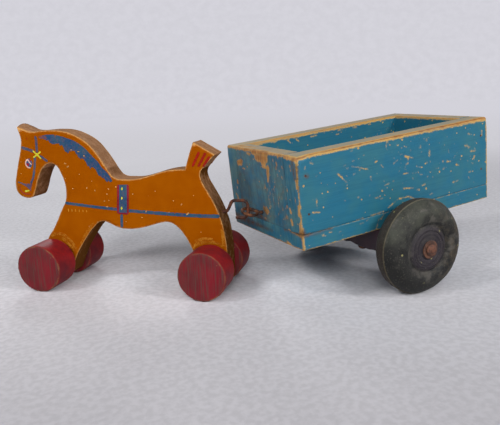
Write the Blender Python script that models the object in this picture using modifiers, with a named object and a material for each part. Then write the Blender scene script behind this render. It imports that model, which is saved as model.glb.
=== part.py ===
"""Pull toy: a flat wooden horse on four wooden wheels, hooked to a two-wheeled open box cart.

Lengths are in metres. X is the cart's direction of travel, Y its left side and Z is up.
The toy stands on Z = 0 with the origin under the middle of its bounding box.
"""

import math

import bmesh
import bpy
from mathutils import Euler, Matrix, Vector

MM = 0.001

# Clearances
seat_gap = 0.3 * MM  # between pieces that are nailed, glued or stacked together
bore_gap = 0.3 * MM  # radial, round a pin, nail or axle in its bore

# Horse: one sawn board on two wooden axles with a wheel glued to each end
horse_board = 19.0 * MM
horse_edge_round = 0.8 * MM
horse_wheel_base = 137.0 * MM
horse_wheel_radius = 19.0 * MM
horse_wheel_length = 24.5 * MM
horse_wheel_edge = 1.0 * MM
horse_wheel_gap = 2.25 * MM  # between a wheel and the flank of the board
horse_axle_radius = 3.0 * MM
horse_axle_depth = 16.0 * MM  # how far the axle goes into each wheel
horse_turn = math.radians(-41.4)  # heading of the horse against the cart's

# Sawn outline of the horse in millimetres: (forward, up, corner) from the centre of an axle.
# The lists follow each other round the horse. The rump and the hind leg are measured from the
# rear axle and the neck from the front axle. Between them the back and the belly are spaced by
# (share of the way, up).
rump_and_back = (
    (-13.0, -12.0, True),
    (-12.9, 14.0, False),
    (-11.2, 29.0, False),
    (-8.8, 39.0, False),
    (-3.8, 51.3, False),
    (1.0, 60.0, False),
    (5.2, 68.2, False),
    (5.8, 73.6, False),
    (2.5, 78.6, False),
    (-6.4, 87.6, True),
    (10.4, 97.2, True),
    (14.0, 88.0, False),
    (18.0, 76.4, True),
    (27.0, 76.2, False),
)
back_line = ((0.218, 74.3), (0.424, 71.3), (0.644, 68.7), (0.812, 68.4))
neck_head_and_foreleg = (
    (-59.5, 69.6, False),
    (-55.7, 73.4, False),
    (-51.2, 80.6, False),
    (-45.2, 89.4, False),
    (-37.7, 97.6, False),
    (-28.0, 103.4, False),
    (-18.0, 106.7, False),
    (-6.0, 107.7, False),
    (6.0, 107.3, False),
    (13.0, 108.5, False),
    (18.5, 111.3, False),
    (23.5, 113.2, True),
    (21.2, 101.4, False),
    (22.1, 94.3, False),
    (25.3, 84.6, False),
    (29.1, 72.6, False),
    (31.2, 63.4, False),
    (29.6, 56.3, False),
    (23.0, 52.6, False),
    (16.8, 53.2, False),
    (13.3, 58.5, False),
    (9.2, 68.7, False),
    (4.6, 76.6, False),
    (1.0, 80.0, False),
    (-3.4, 81.3, False),
    (-8.4, 79.6, False),
    (-12.5, 72.8, False),
    (-14.7, 66.0, False),
    (-15.2, 57.0, False),
    (-13.6, 49.8, False),
    (-10.4, 44.6, False),
    (-0.4, 27.3, False),
    (6.0, 18.8, False),
    (10.0, 9.0, False),
    (11.2, 0.0, False),
    (11.2, -12.0, True),
    (-11.0, -12.0, True),
    (-14.9, -4.6, False),
    (-20.2, 6.0, False),
    (-24.4, 12.6, False),
    (-30.8, 21.4, False),
    (-37.4, 29.0, False),
    (-45.0, 34.2, False),
    (-51.0, 33.0, False),
    (-59.0, 29.5, False),
)
belly_line = ((0.219, 28.4), (0.516, 29.3), (0.778, 31.8))
hind_leg = (
    (40.6, 34.2, False),
    (33.8, 34.8, False),
    (27.4, 31.7, False),
    (21.2, 24.2, False),
    (17.1, 16.6, False),
    (14.6, 10.0, False),
    (13.5, 0.0, False),
    (13.5, -12.0, True),
)

# Hook in the rump: wire bent in the horse's middle plane, measured from the rear axle
hook_wire = 1.15 * MM  # radius
hook_limb_back = 28.0 * MM  # the upright limb that the cart turns on
hook_front_back = 15.6 * MM  # the limb next to the rump
hook_top = 51.3 * MM
hook_bottom = 37.8 * MM
hook_root_height = 42.2 * MM
hook_neck_back = 11.6 * MM  # where the shank starts to rise
hook_tip_back = 18.6 * MM  # free end of the hook
hook_bend = 3.2 * MM
hook_shank_inside = 8.0 * MM  # forward of the rear axle, in the wood

# Cart box: a floor board with four boards standing on it
cart_length = 181.0 * MM
cart_width = 108.0 * MM
cart_height = 67.0 * MM
floor_thickness = 11.7 * MM
side_thickness = 16.0 * MM
end_thickness = 14.0 * MM
board_edge_round = 0.8 * MM

# Axle block, axle and wheels of the cart
block_width = 44.0 * MM
block_depth = 19.0 * MM
axle_back = 88.0 * MM  # axle behind the front face of the box
axle_drop = 14.0 * MM  # axle below the floor
cart_axle_radius = 2.5 * MM
cart_wheel_radius = 36.0 * MM
tyre_half_width = 12.5 * MM
tyre_core_radius = 23.8 * MM  # radius of the circle round which the tyre's section is centred
hub_half_width = 11.6 * MM
hub_radius = 15.4 * MM
hub_groove_radius = 17.6 * MM
hub_groove_depth = 2.2 * MM
cart_wheel_offset = 17.0 * MM  # middle plane of the wheel outside the side board
washer_radius = 6.8 * MM
washer_thickness = 0.9 * MM
cap_radius = 4.4 * MM
cap_height = 2.8 * MM
cap_rim = 0.7 * MM  # straight part of the cap under its dome
cap_wall = 1.1 * MM

# Screw eye in the front board
eye_wire = 1.1 * MM  # radius
eye_ring_radius = 5.6 * MM  # of the middle of the wire
eye_reach = 11.3 * MM  # ring centre in front of the box
eye_rise = 21.2 * MM  # ring centre above the floor's underside
eye_side = -1.6 * MM
eye_tilt = math.radians(12.9)
eye_roll = math.radians(17.0)
eye_opening = 2.4 * MM  # left between the shank and the end of the ring
eye_shank_inside = 10.0 * MM
eye_lift = 5.0 * MM  # ring centre above the lower bend of the hook

# Nails and screws
nail_radius = 0.9 * MM
nail_head_radius = 2.2 * MM
nail_head = 0.7 * MM
nail_length = 30.0 * MM
nail_point = 1.8 * MM  # length of the taper
nail_sink = 0.1 * MM  # top of the head under the wood's surface
low_nail_rise = 14.0 * MM  # side nails above the floor board
high_nail_drop = 14.3 * MM  # side nails below the rim
floor_nail_inset = 20.0 * MM  # from the ends of the box, into the sides
end_nail_inset = 25.7 * MM  # from the ends of the front and back board
screw_radius = 1.7 * MM
screw_point = 3.4 * MM
screw_head_radius = 4.2 * MM
screw_head = 3.2 * MM
screw_rim = 0.8 * MM  # straight part of the head under its dome
screw_bite = 7.0 * MM  # into the floor board
screw_edge = 5.5 * MM  # from the edge of the axle block
screw_inset = 27.0 * MM  # from the side of the box

# Fineness of the round shapes
round_steps = 32
axle_steps = 24
washer_steps = 20
ring_steps = 20
small_steps = 12
section_steps = 6  # in a quarter of the tyre's section
dome_steps = 3
bend_steps = 5
outline_steps = 5  # between two points of the horse's outline
wire_resolution = 2
merge_distance = 0.01 * MM
sharp_from = math.radians(40)


def clear_scene():
    for item in list(bpy.data.objects):
        bpy.data.objects.remove(item)


def new_collection(name):
    group = bpy.data.collections.new(name)
    bpy.context.scene.collection.children.link(group)
    return group


def new_material(name, colour, roughness, metallic=0.0):
    finish = bpy.data.materials.new(name)
    finish.use_nodes = True
    shader = finish.node_tree.nodes["Principled BSDF"]
    shader.inputs["Base Color"].default_value = (*colour, 1.0)
    shader.inputs["Roughness"].default_value = roughness
    shader.inputs["Metallic"].default_value = metallic
    return finish


def new_frame(name, parent, location, turn=(0.0, 0.0, 0.0)):
    frame = bpy.data.objects.new(name, None)
    parts.objects.link(frame)
    frame.parent = parent
    frame.location = location
    frame.rotation_euler = turn
    return frame


def place(name, data, parent, location, turn=(0.0, 0.0, 0.0), finish=None, group=None):
    """Link an object under its frame and give it its one material."""
    item = bpy.data.objects.new(name, data)
    (group or parts).objects.link(item)
    item.parent = parent
    item.location = location
    item.rotation_euler = turn
    if finish is not None and not data.materials:
        data.materials.append(finish)
    return item


def box_mesh(name, size):
    bm = bmesh.new()
    bmesh.ops.create_cube(bm, size=1.0, matrix=Matrix.Diagonal((*size, 1.0)))
    mesh = bpy.data.meshes.new(name)
    bm.to_mesh(mesh)
    bm.free()
    return mesh


def rod_mesh(name, radius, low, high, steps):
    """A plain cylinder round the Z axis, from the low to the high end."""
    bm = bmesh.new()
    bmesh.ops.create_cone(
        bm,
        cap_ends=True,
        segments=steps,
        radius1=radius,
        radius2=radius,
        depth=high - low,
        matrix=Matrix.Translation((0.0, 0.0, (low + high) / 2)),
    )
    mesh = bpy.data.meshes.new(name)
    bm.to_mesh(mesh)
    bm.free()
    return mesh


def profile_mesh(name, points, closed=False):
    """A profile of (radius, height) points for a Screw modifier about Z, outer side first."""
    edges = [(i, i + 1) for i in range(len(points) - 1)]
    if closed:
        edges.append((len(points) - 1, 0))
    mesh = bpy.data.meshes.new(name)
    mesh.from_pydata([(radius, 0.0, height) for radius, height in points], edges, [])
    return mesh


def turn_on_lathe(item, steps):
    screw = item.modifiers.new("turned", "SCREW")
    screw.steps = steps
    screw.render_steps = steps
    screw.use_merge_vertices = True
    screw.merge_threshold = merge_distance
    screw.use_smooth_shade = True
    return item


def soften(item, width, segments=1):
    bevel = item.modifiers.new("rounded edges", "BEVEL")
    bevel.width = width
    bevel.segments = segments
    bevel.limit_method = "ANGLE"


def cut(item, cutter):
    hole = item.modifiers.new(cutter.name, "BOOLEAN")
    hole.operation = "DIFFERENCE"
    hole.solver = "EXACT"
    hole.object = cutter


def drill(name, parent, location, turn, radius, low, high, steps=small_steps):
    """A drill along Z of its own frame, to be cut from the boards that it passes through."""
    mesh = rod_mesh(name, radius, low, high, steps)
    cutter = place(name, mesh, parent, location, turn, group=cutters)
    cutter.hide_render = True
    cutter.display_type = "WIRE"
    return cutter


def rounded_route(corners, bend):
    """Points of a path through the corners, with each inner corner rounded to an arc."""
    corners = [Vector(corner) for corner in corners]
    route = [corners[0]]
    for before, corner, after in zip(corners, corners[1:], corners[2:]):
        back = (before - corner).normalized()
        ahead = (after - corner).normalized()
        half = back.angle(ahead) / 2
        reach = bend / math.tan(half)
        centre = corner + (back + ahead).normalized() * bend / math.sin(half)
        start = corner + back * reach - centre
        axis = ahead.cross(back)
        for step in range(bend_steps + 1):
            turn = (math.pi - 2 * half) * step / bend_steps
            route.append(centre + Matrix.Rotation(turn, 3, axis) @ start)
    route.append(corners[-1])
    return route


def wire(name, route, radius):
    data = bpy.data.curves.new(name, "CURVE")
    data.dimensions = "3D"
    data.bevel_depth = radius
    data.bevel_resolution = wire_resolution
    data.use_fill_caps = True
    spline = data.splines.new("POLY")
    spline.points.add(len(route) - 1)
    for point, at in zip(spline.points, route):
        point.co = (*at, 1.0)
    return data


def sawn_board(name, outline, thickness, edge):
    """A flat board cut to a smooth outline, standing in the XZ plane with its edges eased."""
    data = bpy.data.curves.new(name, "CURVE")
    data.dimensions = "2D"
    data.fill_mode = "BOTH"
    data.resolution_u = outline_steps
    data.extrude = thickness / 2 - edge
    data.bevel_depth = edge
    data.bevel_resolution = 0
    data.offset = -edge
    spline = data.splines.new("BEZIER")
    spline.bezier_points.add(len(outline) - 1)
    for point, (forward, up, corner) in zip(spline.bezier_points, outline):
        point.co = (forward, up, 0.0)
        handle = "VECTOR" if corner else "AUTO"
        point.handle_left_type = handle
        point.handle_right_type = handle
    spline.use_cyclic_u = True
    curve = bpy.data.objects.new(name + " outline", data)
    bpy.context.scene.collection.objects.link(curve)
    curve.rotation_euler = (math.radians(90), 0.0, 0.0)
    bpy.context.view_layer.update()
    graph = bpy.context.evaluated_depsgraph_get()
    mesh = bpy.data.meshes.new_from_object(curve.evaluated_get(graph))
    mesh.transform(curve.matrix_world)
    bm = bmesh.new()
    bm.from_mesh(mesh)
    bmesh.ops.remove_doubles(bm, verts=bm.verts, dist=merge_distance)
    bm.to_mesh(mesh)
    bm.free()
    bpy.data.objects.remove(curve)
    mesh.name = name
    return mesh


def spaced(start, end, line):
    """Outline points between two forward positions, at their shares of the way."""
    return [(start + share * (end - start), z * MM, False) for share, z in line]


def horse_outline():
    rump = [(x * MM, z * MM, corner) for x, z, corner in rump_and_back]
    fore = [
        (horse_wheel_base + x * MM, z * MM, corner)
        for x, z, corner in neck_head_and_foreleg
    ]
    leg = [(x * MM, z * MM, corner) for x, z, corner in hind_leg]
    back = spaced(rump[-1][0], fore[0][0], back_line)
    belly = spaced(fore[-1][0], leg[0][0], belly_line)
    return rump + back + fore + belly + leg


along_y = (math.radians(-90), 0.0, 0.0)  # turns Z to +Y
along_minus_y = (math.radians(90), 0.0, 0.0)
along_x = (0.0, math.radians(90), 0.0)

clear_scene()
parts = new_collection("toy_horse_and_cart")
cutters = new_collection("cutters")

orange_paint = new_material("orange_paint", (0.46, 0.15, 0.01), 0.55)
maroon_paint = new_material("maroon_paint", (0.2, 0.03, 0.035), 0.6)
blue_paint = new_material("blue_paint", (0.03, 0.17, 0.28), 0.6)
dowel_wood = new_material("dowel_wood", (0.45, 0.28, 0.14), 0.7)
dark_block = new_material("dark_block", (0.04, 0.02, 0.025), 0.75)
rubber = new_material("rubber", (0.05, 0.048, 0.042), 0.8)
rusty_steel = new_material("rusty_steel", (0.19, 0.09, 0.045), 0.65, 0.5)
steel = new_material("steel", (0.18, 0.16, 0.14), 0.45, 0.9)

# The ring of the eye hangs on the hook, which sets how far the cart leans forward.
axle_to_ring = Vector((axle_back + eye_reach, axle_drop + eye_rise))
ring_height = horse_wheel_radius + hook_bottom + eye_lift
cart_pitch = axle_to_ring.angle_signed(Vector((1.0, 0.0))) - math.asin(
    (ring_height - cart_wheel_radius) / axle_to_ring.length
)
limb_in_ring = eye_ring_radius * math.cos(eye_roll) - eye_wire - hook_wire - seat_gap
lean = Matrix.Rotation(cart_pitch, 3, "Y")
ring_centre = Vector((eye_reach, eye_side, eye_rise))
cart_at = Vector((0.0, limb_in_ring, ring_height)) - lean @ ring_centre
horse_at = Matrix.Rotation(horse_turn, 3, "Z") @ Vector(
    (hook_limb_back, 0.0, horse_wheel_radius)
)

toy = new_frame("toy", None, (0.0, 0.0, 0.0))
horse = new_frame("horse", toy, horse_at, (0.0, 0.0, horse_turn))
cart = new_frame("cart", toy, cart_at, (0.0, cart_pitch, 0.0))

# Horse
body = place(
    "horse_body",
    sawn_board("horse_body", horse_outline(), horse_board, horse_edge_round),
    horse,
    (0.0, 0.0, 0.0),
    finish=orange_paint,
)
hook_hole = drill(
    "hook_hole",
    horse,
    (hook_shank_inside, 0.0, hook_root_height),
    along_x,
    hook_wire + bore_gap,
    -hook_shank_inside - hook_limb_back,
    seat_gap,
)
cut(body, hook_hole)
hook_route = rounded_route(
    (
        (hook_shank_inside, 0.0, hook_root_height),
        (-hook_neck_back, 0.0, hook_root_height),
        (-hook_front_back, 0.0, hook_top),
        (-hook_limb_back, 0.0, hook_top),
        (-hook_limb_back, 0.0, hook_bottom),
        (-hook_tip_back, 0.0, hook_bottom),
    ),
    hook_bend,
)
place(
    "horse_hook",
    wire("horse_hook", hook_route, hook_wire),
    horse,
    (0.0, 0.0, 0.0),
    finish=rusty_steel,
)

wheel_face = horse_board / 2 + horse_wheel_gap
axle_end = wheel_face + horse_axle_depth
axle_mesh = rod_mesh("horse_axle", horse_axle_radius, -axle_end, axle_end, axle_steps)
bore = horse_axle_radius + bore_gap
wheel_mesh = profile_mesh(
    "horse_wheel",
    (
        (0.0, horse_wheel_length),
        (horse_wheel_radius - horse_wheel_edge, horse_wheel_length),
        (horse_wheel_radius, horse_wheel_length - horse_wheel_edge),
        (horse_wheel_radius, horse_wheel_edge),
        (horse_wheel_radius - horse_wheel_edge, 0.0),
        (bore, 0.0),
        (bore, horse_axle_depth + seat_gap),
        (0.0, horse_axle_depth + seat_gap),
    ),
)
for end, forward in (("rear", 0.0), ("front", horse_wheel_base)):
    axle_hole = drill(
        end + "_axle_hole",
        horse,
        (forward, 0.0, 0.0),
        along_y,
        bore,
        -horse_board,
        horse_board,
        axle_steps,
    )
    cut(body, axle_hole)
    place("horse_" + end + "_axle", axle_mesh, horse, (forward, 0.0, 0.0), along_y, dowel_wood)
    for side, sign, turn in (("left", 1, along_y), ("right", -1, along_minus_y)):
        wheel = place(
            "horse_wheel_" + end + "_" + side,
            wheel_mesh,
            horse,
            (forward, sign * wheel_face, 0.0),
            turn,
            maroon_paint,
        )
        turn_on_lathe(wheel, round_steps)


# Cart box
def board(name, low, high, finish):
    """A board between two corners of the cart's own frame."""
    low = Vector(low)
    high = Vector(high)
    item = place(name, box_mesh(name, high - low), cart, (low + high) / 2, finish=finish)
    soften(item, board_edge_round)
    return item


def dome(radius, rim, height):
    """Profile from the middle of a round top, down over its curve to the top of its rim."""
    angles = [math.radians(90) * step / dome_steps for step in range(dome_steps + 1)]
    return [
        (radius * math.sin(angle), rim + (height - rim) * math.cos(angle)) for angle in angles
    ]


def pin_profile(name, head, radius, length, point):
    """Profile of a nail or screw along Z: the head above 0 and the pointed shank below it."""
    shank = [(radius, 0.0), (radius, point - length), (0.0, -length)]
    return profile_mesh(name, [*head, (head[-1][0], 0.0), *shank])


half_width = cart_width / 2
deck = floor_thickness + seat_gap
inner_half = half_width - side_thickness - seat_gap
floor = board(
    "cart_floor",
    (-cart_length, -half_width, 0.0),
    (0.0, half_width, floor_thickness),
    blue_paint,
)
sides = {
    sign: board(
        "cart_side_" + side,
        (-cart_length, min(sign * half_width, sign * (half_width - side_thickness)), deck),
        (0.0, max(sign * half_width, sign * (half_width - side_thickness)), cart_height),
        blue_paint,
    )
    for side, sign in (("left", 1), ("right", -1))
}
ends = {
    "front": board(
        "cart_front_board",
        (-end_thickness, -inner_half, deck),
        (0.0, inner_half, cart_height),
        blue_paint,
    ),
    "back": board(
        "cart_back_board",
        (-cart_length, -inner_half, deck),
        (end_thickness - cart_length, inner_half, cart_height),
        blue_paint,
    ),
}
end_middle = {"front": -end_thickness / 2, "back": end_thickness / 2 - cart_length}

# Nails through the sides into the end boards, and up through the floor into all four boards
flat_head = [(0.0, nail_head), (nail_head_radius, nail_head)]
nail_mesh = pin_profile("nail", flat_head, nail_radius, nail_length, nail_point)
nail_hole = nail_radius + bore_gap
nail_levels = {"lower": floor_thickness + low_nail_rise, "upper": cart_height - high_nail_drop}


def drive(name, mesh, location, turn, seat, hole_radius, length, boards):
    """Put a nail or screw in, its head's underside at the seat's height over the surface."""
    outwards = Euler(turn).to_matrix() @ Vector((0.0, 0.0, seat))
    pin = place(name, mesh, cart, Vector(location) + outwards, turn, rusty_steel)
    turn_on_lathe(pin, small_steps)
    bottom = seat - length - seat_gap
    hole = drill(name + "_hole", cart, location, turn, hole_radius, bottom, 2 * seat_gap)
    for item in boards:
        cut(item, hole)


def drive_nail(name, location, turn, boards):
    """Drive a nail through the first board into the next, until its head is just under."""
    seat = -nail_sink - nail_head
    drive(name, nail_mesh, location, turn, seat, nail_hole, nail_length, boards)
    pocket = drill(
        name + "_pocket",
        cart,
        location,
        turn,
        nail_head_radius + bore_gap,
        seat - seat_gap,
        2 * seat_gap,
    )
    cut(boards[0], pocket)


for end, x in end_middle.items():
    for sign, side in ((1, "left"), (-1, "right")):
        for level, height in nail_levels.items():
            drive_nail(
                "nail_" + end + "_" + side + "_" + level,
                (x, sign * half_width, height),
                along_y if sign > 0 else along_minus_y,
                (sides[sign], ends[end]),
            )

downwards = (math.radians(180), 0.0, 0.0)
side_line = half_width - side_thickness / 2
for end, x in (("front", -floor_nail_inset), ("back", floor_nail_inset - cart_length)):
    for sign, side in ((1, "left"), (-1, "right")):
        drive_nail(
            "floor_nail_" + end + "_" + side + "_side",
            (x, sign * side_line, 0.0),
            downwards,
            (floor, sides[sign]),
        )
for end, x in end_middle.items():
    for sign, side in ((1, "left"), (-1, "right")):
        drive_nail(
            "floor_nail_" + end + "_" + side + "_end",
            (x, sign * (inner_half - end_nail_inset), 0.0),
            downwards,
            (floor, ends[end]),
        )

# Axle block under the floor, with its screws
hub_inner = half_width + cart_wheel_offset - hub_half_width
block_end = hub_inner - washer_thickness - 2 * seat_gap
block = board(
    "cart_axle_block",
    (-axle_back - block_width / 2, -block_end, -seat_gap - block_depth),
    (-axle_back + block_width / 2, block_end, -seat_gap),
    dark_block,
)
cart_bore = drill(
    "cart_axle_bore",
    cart,
    (-axle_back, 0.0, -axle_drop),
    along_y,
    cart_axle_radius + bore_gap,
    -cart_width,
    cart_width,
    axle_steps,
)
cut(block, cart_bore)
screw_length = block_depth + screw_bite
round_head = dome(screw_head_radius, screw_rim, screw_head)
screw_mesh = pin_profile("screw", round_head, screw_radius, screw_length, screw_point)
screw_spread = block_width / 2 - screw_edge
for along, x in (("fore", screw_spread), ("aft", -screw_spread)):
    for sign, side in ((1, "left"), (-1, "right")):
        drive(
            "block_screw_" + along + "_" + side,
            screw_mesh,
            (-axle_back + x, sign * (half_width - screw_inset), -seat_gap - block_depth),
            downwards,
            seat_gap,
            screw_radius + bore_gap,
            screw_length,
            (block, floor),
        )

# Axle, rubber wheels, washers and end caps
wheel_plane = half_width + cart_wheel_offset
outer_washer = wheel_plane + hub_half_width + seat_gap
cap_face = outer_washer + washer_thickness + seat_gap
rod_end = cap_face + cap_height - cap_wall - seat_gap
place(
    "cart_axle",
    rod_mesh("cart_axle", cart_axle_radius, -rod_end, rod_end, axle_steps),
    cart,
    (-axle_back, 0.0, -axle_drop),
    along_y,
    steel,
)


def tyre_section():
    """Half of the wheel's section, from the crown of the tread over the flank to the bore."""
    depth = cart_wheel_radius - tyre_core_radius
    angles = [math.radians(90) * step / section_steps for step in range(section_steps + 1)]
    flank = [
        (tyre_core_radius + depth * math.cos(angle), tyre_half_width * math.sin(angle))
        for angle in angles
    ]
    groove = hub_half_width - hub_groove_depth
    hub = [
        (hub_groove_radius, groove),
        (hub_radius, hub_half_width),
        (cart_axle_radius + bore_gap, hub_half_width),
    ]
    return flank + hub


outer_half = tyre_section()
mirrored_half = [(radius, -height) for radius, height in outer_half[1:]]
cart_wheel_mesh = profile_mesh("cart_wheel", outer_half[::-1] + mirrored_half, closed=True)
shaft_hole = cart_axle_radius + bore_gap
washer_mesh = profile_mesh(
    "washer",
    (
        (shaft_hole, washer_thickness),
        (washer_radius, washer_thickness),
        (washer_radius, 0.0),
        (shaft_hole, 0.0),
    ),
    closed=True,
)
cap_mesh = profile_mesh(
    "axle_cap",
    (
        *dome(cap_radius, cap_rim, cap_height),
        (cap_radius, 0.0),
        (shaft_hole, 0.0),
        (shaft_hole, cap_height - cap_wall),
        (0.0, cap_height - cap_wall),
    ),
)
for sign, side, turn in ((1, "left", along_y), (-1, "right", along_minus_y)):
    for name, mesh, out, finish, steps in (
        ("cart_wheel_" + side, cart_wheel_mesh, wheel_plane, rubber, round_steps),
        ("inner_washer_" + side, washer_mesh, block_end + seat_gap, rusty_steel, washer_steps),
        ("outer_washer_" + side, washer_mesh, outer_washer, rusty_steel, washer_steps),
        ("axle_cap_" + side, cap_mesh, cap_face, rusty_steel, washer_steps),
    ):
        item = place(name, mesh, cart, (-axle_back, sign * out, -axle_drop), turn, finish)
        turn_on_lathe(item, steps)

# Screw eye: the shank runs into the front board and the wire closes to a ring in front of it
eye_frame = new_frame("eye_frame", cart, ring_centre, (-eye_roll, -eye_tilt, 0.0))
neck = eye_ring_radius + eye_opening
open_angle = eye_opening / eye_ring_radius
shank_start = eye_reach / math.cos(eye_tilt) + eye_shank_inside
eye_route = [(-shank_start, 0.0, 0.0), (-neck, 0.0, 0.0)]
for step in range(ring_steps + 1):
    angle = open_angle + (2 * math.pi - 2 * open_angle) * step / ring_steps
    eye_route.append(
        (-eye_ring_radius * math.cos(angle), -eye_ring_radius * math.sin(angle), 0.0)
    )
place(
    "hitch_eye",
    wire("hitch_eye", eye_route, eye_wire),
    eye_frame,
    (0.0, 0.0, 0.0),
    finish=rusty_steel,
)
eye_hole = drill(
    "eye_hole",
    eye_frame,
    (-shank_start, 0.0, 0.0),
    along_x,
    eye_wire + bore_gap,
    -seat_gap,
    shank_start,
)
cut(ends["front"], eye_hole)

# Stand the toy over the origin.
bpy.context.view_layer.update()
graph = bpy.context.evaluated_depsgraph_get()
corners = []
for item in parts.objects:
    if item.type != "EMPTY":
        solid = item.evaluated_get(graph)
        mesh = solid.to_mesh()
        corners.extend(item.matrix_world @ vertex.co for vertex in mesh.vertices)
        solid.to_mesh_clear()
low = Vector([min(corner[axis] for corner in corners) for axis in range(3)])
high = Vector([max(corner[axis] for corner in corners) for axis in range(3)])
toy.location = (-(low.x + high.x) / 2, -(low.y + high.y) / 2, -low.z)

for item in parts.objects:
    if item.type == "MESH":
        item.data.shade_smooth()
        item.data.set_sharp_from_angle(angle=sharp_from)
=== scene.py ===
import math
import random

import bmesh
import bpy
import numpy as np
from mathutils import Matrix, Vector, noise


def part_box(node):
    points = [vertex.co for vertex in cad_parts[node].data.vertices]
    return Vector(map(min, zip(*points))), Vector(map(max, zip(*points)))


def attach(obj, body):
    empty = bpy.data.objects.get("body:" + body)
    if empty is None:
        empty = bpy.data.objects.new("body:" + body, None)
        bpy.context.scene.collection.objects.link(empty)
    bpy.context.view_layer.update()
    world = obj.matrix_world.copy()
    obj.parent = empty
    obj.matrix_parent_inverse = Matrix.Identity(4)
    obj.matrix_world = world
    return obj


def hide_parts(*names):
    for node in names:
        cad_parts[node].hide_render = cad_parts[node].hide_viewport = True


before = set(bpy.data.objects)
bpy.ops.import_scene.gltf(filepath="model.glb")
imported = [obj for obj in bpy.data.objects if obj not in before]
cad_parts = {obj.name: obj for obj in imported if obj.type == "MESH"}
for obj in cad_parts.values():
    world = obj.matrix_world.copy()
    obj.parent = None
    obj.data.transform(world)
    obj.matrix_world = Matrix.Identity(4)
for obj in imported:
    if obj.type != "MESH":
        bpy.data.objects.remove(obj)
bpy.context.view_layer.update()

# ---- Where the toy stands ----
# A pale paper floor with six small soft lamps round it, most of them on the viewer's side, so that
# the shadows lie behind and under the toy. The camera looks slightly down on the left side of the
# horse and the cart.

MM = 0.001
scene = bpy.context.scene
lens = bpy.data.cameras.new("camera")
lens.lens = 40.437
camera = bpy.data.objects.new("camera", lens)
camera.location = (0.2042, 0.4055, 0.15545)
camera.rotation_euler = [math.radians(angle) for angle in (77.3354, 1.9827, 152.8236)]
scene.collection.objects.link(camera)
scene.camera = camera
scene.view_settings.view_transform = "Standard"


def srgb(red, green, blue):
    """A colour written as 0 to 255 on a screen, as the shaders' linear values."""
    parts = [value / 255 for value in (red, green, blue)]
    return (*[p / 12.92 if p < 0.04045 else ((p + 0.055) / 1.055) ** 2.4 for p in parts], 1.0)


def add(tree, kind, inputs=None, **settings):
    """A shader node with its settings, and each named input linked or given its value."""
    node = tree.nodes.new("ShaderNode" + kind)
    for name, value in settings.items():
        setattr(node, name, value)
    for name, value in (inputs or {}).items():
        if isinstance(value, bpy.types.NodeSocket):
            tree.links.new(value, node.inputs[name])
        else:
            node.inputs[name].default_value = value
    return node


def math_node(tree, operation, first, second=0.0, third=0.0, clamp=False):
    """The result of one Math node."""
    inputs = {0: first, 1: second, 2: third}
    return add(tree, "Math", inputs, operation=operation, use_clamp=clamp).outputs[0]


def blend(tree, share, first, second):
    """A colour mixed from two. The Mix node keeps sockets 6, 7 and 2 for colours."""
    return add(tree, "Mix", {0: share, 6: first, 7: second}, data_type="RGBA").outputs[2]


def spread(tree, value, low, high, to_low=0.0, to_high=1.0):
    """A value between two limits, spread over 0 to 1 or another range, with soft ends."""
    inputs = {0: value, 1: low, 2: high, 3: to_low, 4: to_high}
    return add(tree, "MapRange", inputs, interpolation_type="SMOOTHSTEP").outputs[0]


def noise_at(tree, vector, scale, detail=2.0, stretch=None):
    """The value of a noise, by choice drawn out along an axis."""
    if stretch is not None:
        vector = add(tree, "VectorMath", {0: vector, 1: stretch}, operation="MULTIPLY").outputs[0]
    inputs = {"Vector": vector, "Scale": scale, "Detail": detail, "Roughness": 0.6}
    return add(tree, "TexNoise", inputs).outputs["Fac"]


def new_material(name, **constants):
    """A material with one Principled shader. The constants are set on its own sockets."""
    material = bpy.data.materials.new(name)
    material.use_nodes = True
    shader = material.node_tree.nodes["Principled BSDF"]
    for socket, value in constants.items():
        shader.inputs[socket.replace("_", " ")].default_value = value
    return material, material.node_tree, shader


def clouded(tree, colour, vector, scale, detail):
    """The backdrop's colour, a little uneven as paper is."""
    cloud = spread(tree, noise_at(tree, vector, scale, detail), 0.3, 0.7, 0.0, 0.09)
    return blend(tree, cloud, colour, srgb(150, 149, 154))


backdrop_colour = srgb(213, 212, 220)
paper_size, paper_drop = 6.0, 0.2 * MM
paper, tree, shader = new_material("floor_paper", Roughness=0.9)
place = add(tree, "TexCoord").outputs["Object"]
cloud = add(tree, "TexNoise", {"Vector": place, "Scale": 9.0, "Detail": 3.0}).outputs["Fac"]
fibres = add(tree, "TexNoise", {"Vector": place, "Scale": 240.0, "Detail": 4.0}).outputs["Fac"]
mottle = math_node(
    tree, "ADD", spread(tree, fibres, 0.34, 0.66, 0.0, 0.75), spread(tree, cloud, 0.3, 0.7, 0.0, 0.25)
)
# The paper is painted lighter towards negative X and Y, away from the camera: painted light falling off over the
# floor, not the paper's own colour.
painted_light_slope = add(tree, "VectorMath", {0: place, 1: (-1.1, -2.7, 0.0)}, operation="DOT_PRODUCT").outputs["Value"]
painted_light_share = math_node(tree, "ADD", painted_light_slope, 0.88, clamp=True)
colour = blend(tree, painted_light_share, srgb(180, 177, 182), srgb(244, 243, 249))
colour = blend(tree, mottle, colour, blend(tree, 0.2, colour, srgb(100, 98, 102)))
tree.links.new(colour, shader.inputs["Base Color"])
distance = add(tree, "VectorMath", {0: place}, operation="LENGTH").outputs["Value"]
backdrop = blend(tree, spread(tree, distance, 0.5, 2.9), srgb(206, 205, 211), backdrop_colour)
glow = add(tree, "Emission", {"Color": clouded(tree, backdrop, place, 90.0, 4.0)})
path = add(tree, "LightPath").outputs
far_off = math_node(tree, "MULTIPLY", spread(tree, distance, 0.3, 1.1), path["Is Camera Ray"])
mixed = add(tree, "MixShader", {0: far_off, 1: shader.outputs[0], 2: glow.outputs[0]})
tree.links.new(mixed.outputs[0], tree.nodes["Material Output"].inputs["Surface"])

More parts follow.
